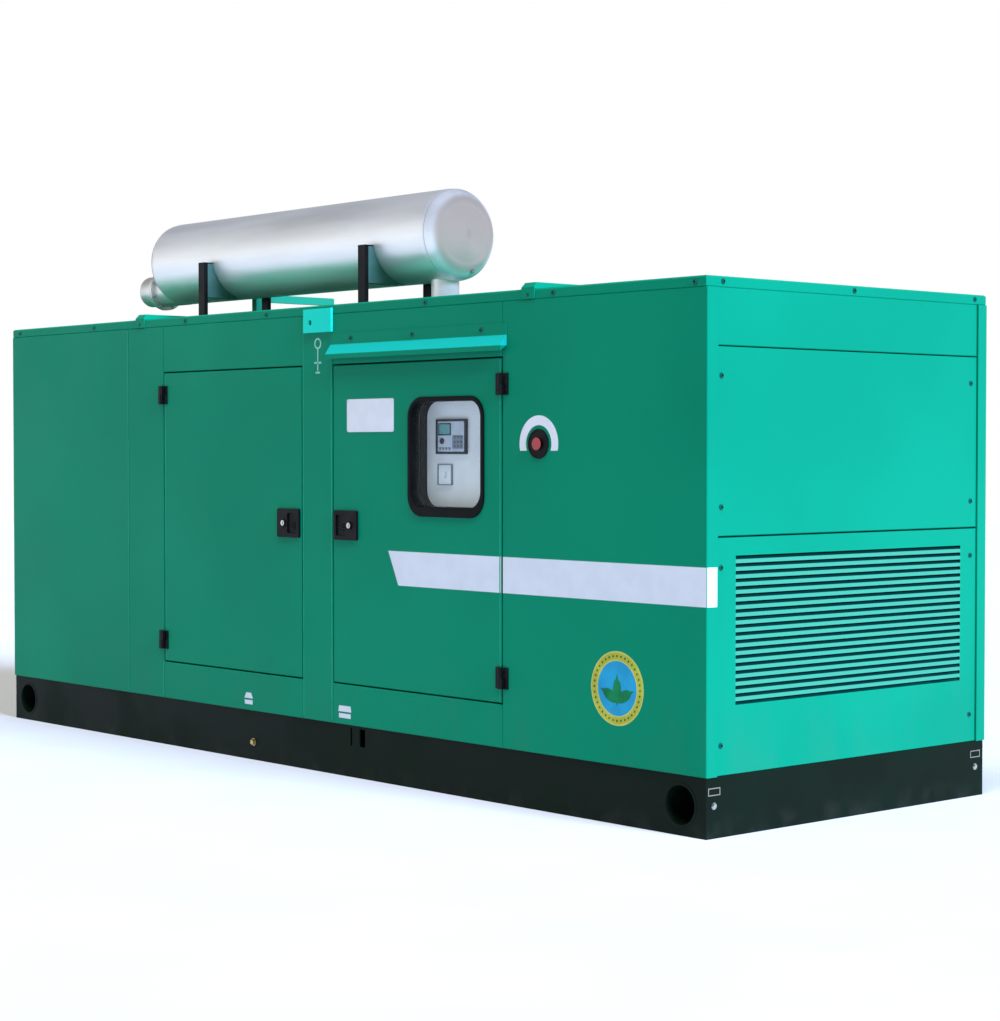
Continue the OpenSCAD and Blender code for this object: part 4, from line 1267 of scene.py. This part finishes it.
@dataclass
class Window:
    """Pane, and the rubber seal round it: a flat lip with a rolled edge and a neck through the leaf."""

    corner: float = 85 * MM
    proud: float = 2 * MM
    neck_step: float = 12.3 * MM
    lip_roll: float = 3 * MM

    def build(self) -> None:
        """Makes the seal, which stands for the frame's plain one."""
        dress("glass", "window_pane")
        seal, pane = Box.of("window_rubber"), Box.of("window_pane")
        leaf = Box.of("door_right").low.y
        width = seal.high.z - pane.high.z
        lift = pane.low.z - seal.low.z - width
        front, step = seal.low.y - self.proud, self.neck_step
        lip = self.ring("window_seal", Vector((seal.low.x, front, seal.low.z)),
                        Vector((seal.high.x, leaf, seal.high.z)), self.corner, width, lift)
        lip.pick(Element.EDGE, lambda e: all(abs(v.co.y - front) < 0.1 * MM for v in e.verts)
                 and len(e.link_faces) == 2 and any(abs(f.normal.y) < 0.1 for f in e.link_faces))
        lip.bevel(self.lip_roll, 4)
        neck = self.ring("neck", Vector((seal.low.x + step, leaf, seal.low.z + step)),
                         Vector((seal.high.x - step, seal.high.y, seal.high.z - step)),
                         self.corner - step, width - step, lift)
        piece = lip.join(neck).settle(Body.DOOR_RIGHT, "rubber", 40)
        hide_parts("window_rubber")

    def ring(self, name: str, low: Vector, high: Vector, corner: float, width: float, lift: float) -> Shape:
        """A rounded rectangular ring that is open right through.

        Args:
            name: The piece's name.
            low: Lowest corner of its box.
            high: Highest corner.
            corner: Radius of its outer corners.
            width: Width of its bars.
            lift: Extra width of its foot bar.

        Returns:
            The shape.
        """
        middle = (low + high) / 2
        ring = Shape.block(name, low, high, "rubber")
        ring.pick_along(Facing.FRONT).bevel(corner, 10)
        ring.pick(Element.FACE, lambda f: abs(f.normal.y) > 0.95).inset(width)
        ring.keep(lambda v: v.co.z < middle.z).shift((0, 0, lift))
        return ring.pick(Element.FACE, lambda f: abs(f.normal.y) > 0.95 and len(f.verts) > 4).pierce()


@dataclass
class ControlFace:
    """Face of the control cabinet: display unit, breaker cover and door handle."""

    unit_size: Pair = (188 * MM, 142 * MM)
    unit_place: Pair = (0.961, 1.437)
    unit_depth: float = 12 * MM
    unit_sink: float = 3 * MM
    screen_size: Pair = (78 * MM, 50 * MM)
    screen_place: Pair = (-40 * MM, 30 * MM)
    pad_size: Pair = (66 * MM, 56 * MM)
    pad_place: Pair = (42 * MM, -22 * MM)
    pad_depth: float = 1.8 * MM
    pad_dome: float = 0.6 * MM
    key_half: Point = (6 * MM, 5 * MM, 2 * MM)
    key_pitch: Pair = (20 * MM, 18 * MM)
    pad_keys: Pair = (22 * MM, -40 * MM)
    row_keys: Pair = (-70 * MM, -48 * MM)
    dial_place: Pair = (-55 * MM, -18 * MM)
    dial_radius: float = 12 * MM
    cover_size: Pair = (90 * MM, 86 * MM)
    cover_place: Pair = (0.917, 1.283)
    cover_depth: float = 8 * MM
    cover_sink: float = 5 * MM
    toggle_size: Pair = (16 * MM, 34 * MM)
    handle_size: Pair = (28 * MM, 120 * MM)
    handle_place: Pair = (45 * MM, 1.02)

    def build(self) -> None:
        """Dresses the cabinet and makes its fittings."""
        dress("cabinet_paint", "control_cabinet")
        dress("black_plastic", "cabinet_bezel")
        self.display_unit()
        self.cover()
        self.cabinet_door()

    @property
    def face(self) -> float:
        """Front of the cabinet."""
        return Box.of("control_cabinet").low.y

    def panel(self, name: str, place: Pair, size: Pair, y: float, depth: float, finish: str) -> Shape:
        """A block of a width and height about a place, which stands out from y by its depth."""
        (x, z), (w, h) = place, (size[0] / 2, size[1] / 2)
        return Shape.block(name, (x - w, y - depth, z - h), (x + w, y, z + h), finish)

    def display_unit(self) -> None:
        """Dark frame with a pale fascia, a screen at the upper left and a keypad at the lower right."""
        x, z = self.unit_place
        unit = self.panel("display_frame", (x, z), self.unit_size, self.face, self.unit_depth, "instrument_black")
        unit.pick_side(Facing.FRONT).inset(10 * MM).extrude((0, self.unit_sink, 0)).colour("screen_pale")
        unit.pick_along(Facing.FRONT).bevel(4 * MM, 3).settle(smooth=20)
        fascia = self.face - self.unit_depth + self.unit_sink
        (dx, dz), size = self.screen_place, self.screen_size
        screen = self.panel("display_screen", (x + dx, z + dz), size, fascia, 2 * MM, "instrument_black")
        screen.pick_side(Facing.FRONT).inset(5 * MM).extrude((0, 1 * MM, 0)).colour("screen_teal").settle(smooth=20)
        (dx, dz), depth = self.pad_place, self.pad_depth - self.pad_dome
        pad = self.panel("display_keypad", (x + dx, z + dz), self.pad_size, fascia, depth, "instrument_grey")
        pad.pick_along(Facing.FRONT).bevel(4 * MM, 3)
        pad.pick_side(Facing.FRONT).inset(1.5 * MM, self.pad_dome).settle(smooth=20)
        w, h, depth = self.key_half
        key = Shape.block("key", (-w, -h, 0), (w, h, depth), "instrument_black")
        key.pick_along(Facing.UP).bevel(2.5 * MM, 2)
        key.pick_side(Facing.UP).inset(1 * MM, 0.5 * MM).colour("instrument_grey")
        across, up = self.key_pitch
        places = []
        for (dx, dz), columns, rows, lift in ((self.pad_keys, 3, 3, self.pad_depth), (self.row_keys, 4, 1, 0)):
            places += [at((x + dx + across * i, fascia - lift, z + dz + up * j), Facing.FRONT)
                       for i in range(columns) for j in range(rows)]
        key.copies(places, "display_keys").settle()
        x, z = x + self.dial_place[0], z + self.dial_place[1]
        dial = Shape.disc("display_dial", (x, fascia, z), Facing.FRONT, self.dial_radius, 4 * MM,
                          "instrument_black", 28)
        dial.pick_side(Facing.FRONT).inset(2.5 * MM, 1 * MM)
        dial.inset(4 * MM).extrude((0, -2 * MM, 0)).scale((0.4, 1, 1), (x, 0, z)).settle()

    def cover(self) -> None:
        """Breaker cover below the display: a raised rim round a recessed plate with a toggle."""
        place, plate = self.cover_place, self.face - self.cover_depth + self.cover_sink
        cover = self.panel("breaker_cover", place, self.cover_size, self.face, self.cover_depth, "instrument_grey")
        cover.pick_side(Facing.FRONT).inset(4 * MM).extrude((0, self.cover_sink, 0)).colour("cabinet_paint")
        cover.pick_along(Facing.FRONT).bevel(3 * MM, 2).settle(smooth=20)
        toggle = self.panel("breaker_toggle", place, self.toggle_size, plate, 3 * MM, "cabinet_paint")
        toggle.pick_side(Facing.FRONT).inset(2 * MM).extrude((0, -6 * MM, 0))
        toggle.scale((1, 1, 0.5), (place[0], 0, place[1])).settle()

    def cabinet_door(self) -> None:
        """Swing handle on the cabinet below the window."""
        inward, z = self.handle_place
        x = Box.of("control_cabinet").low.x + inward
        handle = self.panel("cabinet_handle", (x, z), self.handle_size, self.face, 4 * MM, "black_plastic")
        handle.pick_along(Facing.FRONT).bevel(9 * MM, 4).pick_side(Facing.FRONT).inset(6 * MM)
        handle.extrude((0, -12 * MM, 0)).scale((0.7, 1, 0.92), (x, 0, z)).settle()


@dataclass
class EmergencyStop:
    """Emergency stop: its bare arched label and the raised rim of its plate."""

    inner: float = 72 * MM
    outer: float = 109 * MM
    drop: float = 26 * MM
    skin: float = 0.6 * MM
    rim: float = 6 * MM

    def build(self) -> None:
        """Dresses the stop and makes the arch and the rim."""
        dress("black_plastic", "estop_housing")
        dress("red_plastic", "estop_button")
        housing = Box.of("estop_housing")
        centre = Vector((housing.centre.x, Box.of("front_panel_near").low.y, housing.centre.z))
        arch = annulus("estop_arch", centre, self.outer, self.inner, self.skin, "plate_white", 96)
        arch.cut(centre - Vector((0, 0, self.drop)), Facing.UP).settle()
        plate = Vector((centre.x, housing.low.y, centre.z))
        radius = housing.size.x / 2
        rim = annulus("estop_rim", plate, radius, radius - self.rim, 1.5 * MM, "black_plastic", 64)
        rim.pick(Element.EDGE, lambda e: all(v.co.y < plate.y - 1 * MM for v in e.verts)
                 and abs((e.verts[0].co - plate).length - (e.verts[1].co - plate).length) < 0.1 * MM)
        rim.bevel(1 * MM, 2).settle(slot="black_plastic")


@dataclass
class Latches:
    """Key faces and grip lines of the paddle latches."""

    key_offset: float = 0.2
    paddle_offset: float = 0.18
    key_radius: float = 12 * MM
    grip_length: float = 34 * MM
    grip_rows: tuple[float, ...] = (-24 * MM, -12 * MM, 0.0)

    def build(self) -> None:
        """Adds a bright key face and three grip lines to each front latch."""
        for body, side in ((Body.DOOR_RIGHT, 1), (Body.DOOR_LEFT, -1)):
            name = f"{body.value}_latch"
            latch = Box.of(name)
            x, z = latch.centre.x + side * self.key_offset * latch.size.x, latch.centre.z
            key = Shape.disc(f"{name}_key", (x, latch.low.y, z), Facing.FRONT, self.key_radius, 1.2 * MM, "zinc", 28)
            key.pick_side(Facing.FRONT).inset(2 * MM, 0.6 * MM)
            key.inset(2 * MM).extrude((0, 2 * MM, 0)).scale((0.25, 1, 1), (x, 0, z))
            key.colour("instrument_black").settle(body)
            grip = Shape.block(f"{name}_grip", (0, 0, 0), (self.grip_length, 5 * MM, 3 * MM), "black_plastic")
            grip.pick_side(Facing.UP).inset(1.2 * MM, 0.6 * MM)
            x = latch.centre.x - side * self.paddle_offset * latch.size.x - self.grip_length / 2
            places = [at((x, latch.high.y - 3 * MM, z + dz), Facing.FRONT) for dz in self.grip_rows]
            grip.copies(places, f"{name}_grips").settle(body)


@dataclass
class Silencer:
    """Weld beads, flange bolts, foot bolts and the drain of the roof silencer."""

    bead: float = 1.3 * MM
    seam: float = 61 * MM
    drop: float = 4.2 * MM
    inlet_circle: float = 82 * MM
    outlet_joint: float = 108 * MM
    outlet_edge: float = 9 * MM
    flange: float = 13 * MM
    leg: float = 48 * MM
    foot_edge: float = 10 * MM
    foot_step: float = 15 * MM
    drain_place: Point = (-26 * MM, 44 * MM, -155 * MM)

    def build(self) -> None:
        """Dresses the silencer and makes its details."""
        dress("silver_paint", "silencer_shell", "silencer_inlet", "silencer_outlet")
        dress("black_metal", "silencer_saddles")
        dress("web_paint", "saddle_webs")
        shell = Box.of("silencer_shell")
        self.seams(shell)
        self.inlet_bolts()
        self.outlet_bolts(shell)
        self.foot_bolts()
        place = Vector((shell.high.x, shell.centre.y, shell.centre.z)) + Vector(self.drain_place)
        HexBolt(15 * MM, 8 * MM, 11 * MM, 6 * MM).put("silencer_drain", [at(place, Facing.NEAR)])

    def seams(self, shell: Box) -> None:
        """Round weld beads on the knuckles of the two heads.

        Args:
            shell: Box of the shell.
        """
        radius = shell.size.z / 2 - self.drop
        near, far = (Shape.bead(f"silencer_bead_{index}", (x, shell.centre.y, shell.centre.z), Facing.NEAR, radius,
                                self.bead, (1.8, 1, 1), "weld_silver", 96)
                     for index, x in enumerate((shell.high.x - self.seam, shell.low.x + self.seam)))
        near.join(far).settle(slot="silver_paint", smooth=60)

    def inlet_bolts(self) -> None:
        """Ring of bolts on the inlet's flange."""
        inlet = Box.of("silencer_inlet").centre
        centre = (inlet.x, inlet.y, Box.of("roof_middle").high.z + 12 * MM)
        places = circle(centre, self.inlet_circle, 6, 30, Facing.UP, 20)
        HexBolt(16 * MM, 7 * MM, 12 * MM, 2 * MM).put("inlet_flange_bolts", places)

    def outlet_bolts(self, shell: Box) -> None:
        """Ring of bolts through the outlet's pair of flanges.

        Args:
            shell: Box of the shell.
        """
        outlet = Box.of("silencer_outlet")
        joint = shell.low.x - self.outlet_joint
        rings = (circle((joint + offset, outlet.centre.y, outlet.centre.z), outlet.size.z / 2 - self.outlet_edge,
                        8, 22, facing) for offset, facing in ((self.flange, Facing.NEAR), (-self.flange, Facing.FAR)))
        places = [place for pair in zip(*rings) for place in pair]
        HexBolt(10 * MM, 5 * MM, 7 * MM, 1.2 * MM).put("outlet_flange_bolts", places)

    def foot_bolts(self) -> None:
        """Bolts through the feet of the saddles."""
        feet = Box.of("silencer_saddles")
        top = feet.low.z + 6 * MM
        places = [at((x + dx, y, top), Facing.UP) for x in (feet.low.x + self.leg / 2, feet.high.x - self.leg / 2)
                  for dx in (-self.foot_step, self.foot_step)
                  for y in (feet.low.y + self.foot_edge, feet.high.y - self.foot_edge)]
        HexBolt(8 * MM, 4 * MM, 6 * MM, 1 * MM).put("saddle_bolts", places)


@dataclass
class Base:
    """Finish of the skid base, its two bare plates and the weld beads of its lifting tubes."""

    plate_half: float = 31 * MM
    plate_foot: float = 0.154
    plate_head: float = 0.182
    bead: float = 2.5 * MM

    def build(self) -> None:
        """Dresses the base and adds its plates and beads."""
        dress("base_paint", "base_rail_front", "base_rail_back", "base_ends", "base_cross_members",
              "lifting_tubes", "base_floor")
        near = Box.of("base_ends").high.x
        for index, y in enumerate(EARTH_STATIONS):
            plate = Shape.block(f"base_plate_{index}", (near, y - self.plate_half, self.plate_foot),
                                (near + 1 * MM, y + self.plate_half, self.plate_head), "warm_vinyl")
            plate.pick_side(Facing.NEAR).inset(3.5 * MM).extrude((-0.4 * MM, 0, 0)).colour("base_paint").settle()
        tubes, face = Box.of("lifting_tubes"), Box.of("base_rail_front").low.y
        radius = tubes.size.z / 2
        first, *others = (Shape.bead("tube_beads", (x, y, tubes.centre.z), Facing.FRONT, radius + 1 * MM, self.bead,
                                     (1, 0.7, 1), "base_paint", 64)
                          for x in (tubes.low.x + radius, tubes.high.x - radius) for y in (face, -face))
        first.join(*others).settle(slot="base_paint", smooth=60)


@dataclass
class Machine:
    """Finishes of the engine, alternator, radiator and exhaust."""

    def build(self) -> None:
        """Dresses the machine."""
        dress("machine_paint", "engine", "alternator")
        dress("radiator_black", "radiator", "cooling_fan")
        dress("pipe_steel", "turbocharger", "exhaust_riser")


@dataclass(frozen=True)
class Lamp:
    """A distant lamp, which lights the whole floor evenly; its angle in degrees softens its shadows."""

    name: str
    toward: Point
    strength: float
    angle: float
    colour: Colour

    def build(self) -> None:
        """Adds the lamp, which no glossy surface mirrors."""
        data = bpy.data.lights.new(self.name, "SUN")
        data.energy = self.strength
        data.angle = math.radians(self.angle)
        data.color = self.colour
        lamp = bpy.data.objects.new(self.name, data)
        bpy.context.collection.objects.link(lamp)
        lamp.visible_glossy = False
        lamp.rotation_euler = (-Vector(self.toward)).to_track_quat("-Z", "Y").to_euler()


@dataclass
class Studio:
    """Pale floor, white surroundings, soft lamps and the camera."""

    eye: Point = (7.923, -6.609, 1.383)
    heading: Point = (-0.7501, 0.6613, -0.02689)
    lens: float = 79.4
    sensor: float = 36.0
    sight: float = 200.0
    floor_size: float = 60.0
    bright_side: Point = (-0.75, -0.66, 0.0)
    focus: float = 4.0
    glow: float = 0.95
    ambient: float = 0.5
    heights: tuple[tuple[float, Colour], ...] = (
        (0.0, (0.95, 0.98, 1.0)), (0.25, (0.75, 0.79, 0.82)), (0.5, (0.32, 0.32, 0.30)), (1.0, (0.30, 0.29, 0.26)))
    lamps: tuple[Lamp, ...] = (Lamp("overhead", (0.15, -0.27, 0.95), 2.4, 22.0, (1.0, 1.0, 0.98)),
                               Lamp("key", (0.88, 0.01, 0.47), 11.0, 24.0, (0.52, 0.65, 1.0)))

    def build(self) -> None:
        """Sets up the studio."""
        self.floor()
        self.surroundings()
        for lamp in self.lamps:
            lamp.build()
        self.camera()

    def floor(self) -> None:
        """Pale floor under the set."""
        Shape.clear()
        bpy.ops.mesh.primitive_plane_add(size=self.floor_size, location=(0, 0, 0))
        floor = bpy.context.active_object
        floor.name = "studio_floor"
        floor.data.materials.append(FINISHES["studio_floor"])

    def surroundings(self) -> None:
        """White to the eye; to the object a horizon that is bright at the door side and dims away."""
        world = bpy.data.worlds.new("studio")
        bpy.context.scene.world = world
        graph = Graph(world)
        graph.tree.nodes.clear()
        way = graph.add("ShaderNodeTexCoord")["Generated"]
        shade = graph.add("ShaderNodeValToRGB", {0: graph.add("ShaderNodeSeparateXYZ", {0: way})["Z"]})[0]
        stops = shade.node.color_ramp.elements
        for position, colour in self.heights:
            stop = stops.new(position) if 0 < position < 1 else stops[0 if position == 0 else -1]
            stop.position, stop.color = position, (*colour, 1.0)
        side = graph.add("ShaderNodeVectorMath", {0: way, 1: self.bright_side}, operation="DOT_PRODUCT")["Value"]
        side = graph.maths("POWER", graph.maths("MAXIMUM", side, 0.0), self.focus)
        strength = graph.add("ShaderNodeMath", {0: side, 1: self.glow, 2: self.ambient}, operation="MULTIPLY_ADD")[0]
        lit = graph.add("ShaderNodeBackground", {"Color": shade, "Strength": strength})[0]
        seen = graph.add("ShaderNodeBackground", {"Color": EVEN})[0]
        camera_ray = graph.add("ShaderNodeLightPath")["Is Camera Ray"]
        blend = graph.add("ShaderNodeMixShader", {0: camera_ray, 1: lit, 2: seen})[0]
        graph.add("ShaderNodeOutputWorld", {0: blend})
        bpy.context.scene.view_settings.view_transform = "Standard"

    def camera(self) -> None:
        """Camera near the ground, off the alternator end's corner."""
        data = bpy.data.cameras.new("camera")
        data.lens = self.lens
        data.sensor_width = self.sensor
        data.clip_end = self.sight
        camera = bpy.data.objects.new("camera", data)
        bpy.context.collection.objects.link(camera)
        camera.location = self.eye
        camera.rotation_euler = Vector(self.heading).to_track_quat("-Z", "Y").to_euler()
        bpy.context.scene.camera = camera


def main() -> None:
    """Builds the looks piece by piece."""
    logging.basicConfig(level=logging.INFO, format="%(name)s: %(message)s")
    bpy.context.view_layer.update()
    for part in (Palette(), CanopyTrim(), Base(), Machine(), Silencer(), ControlFace(), Window(), Latches(),
                 EmergencyStop(), Decals(), Fasteners(), Studio()):
        LOG.info("building %s", type(part).__name__)
        part.build()
    Shape.clear()


if __name__ == "__main__":
    main()
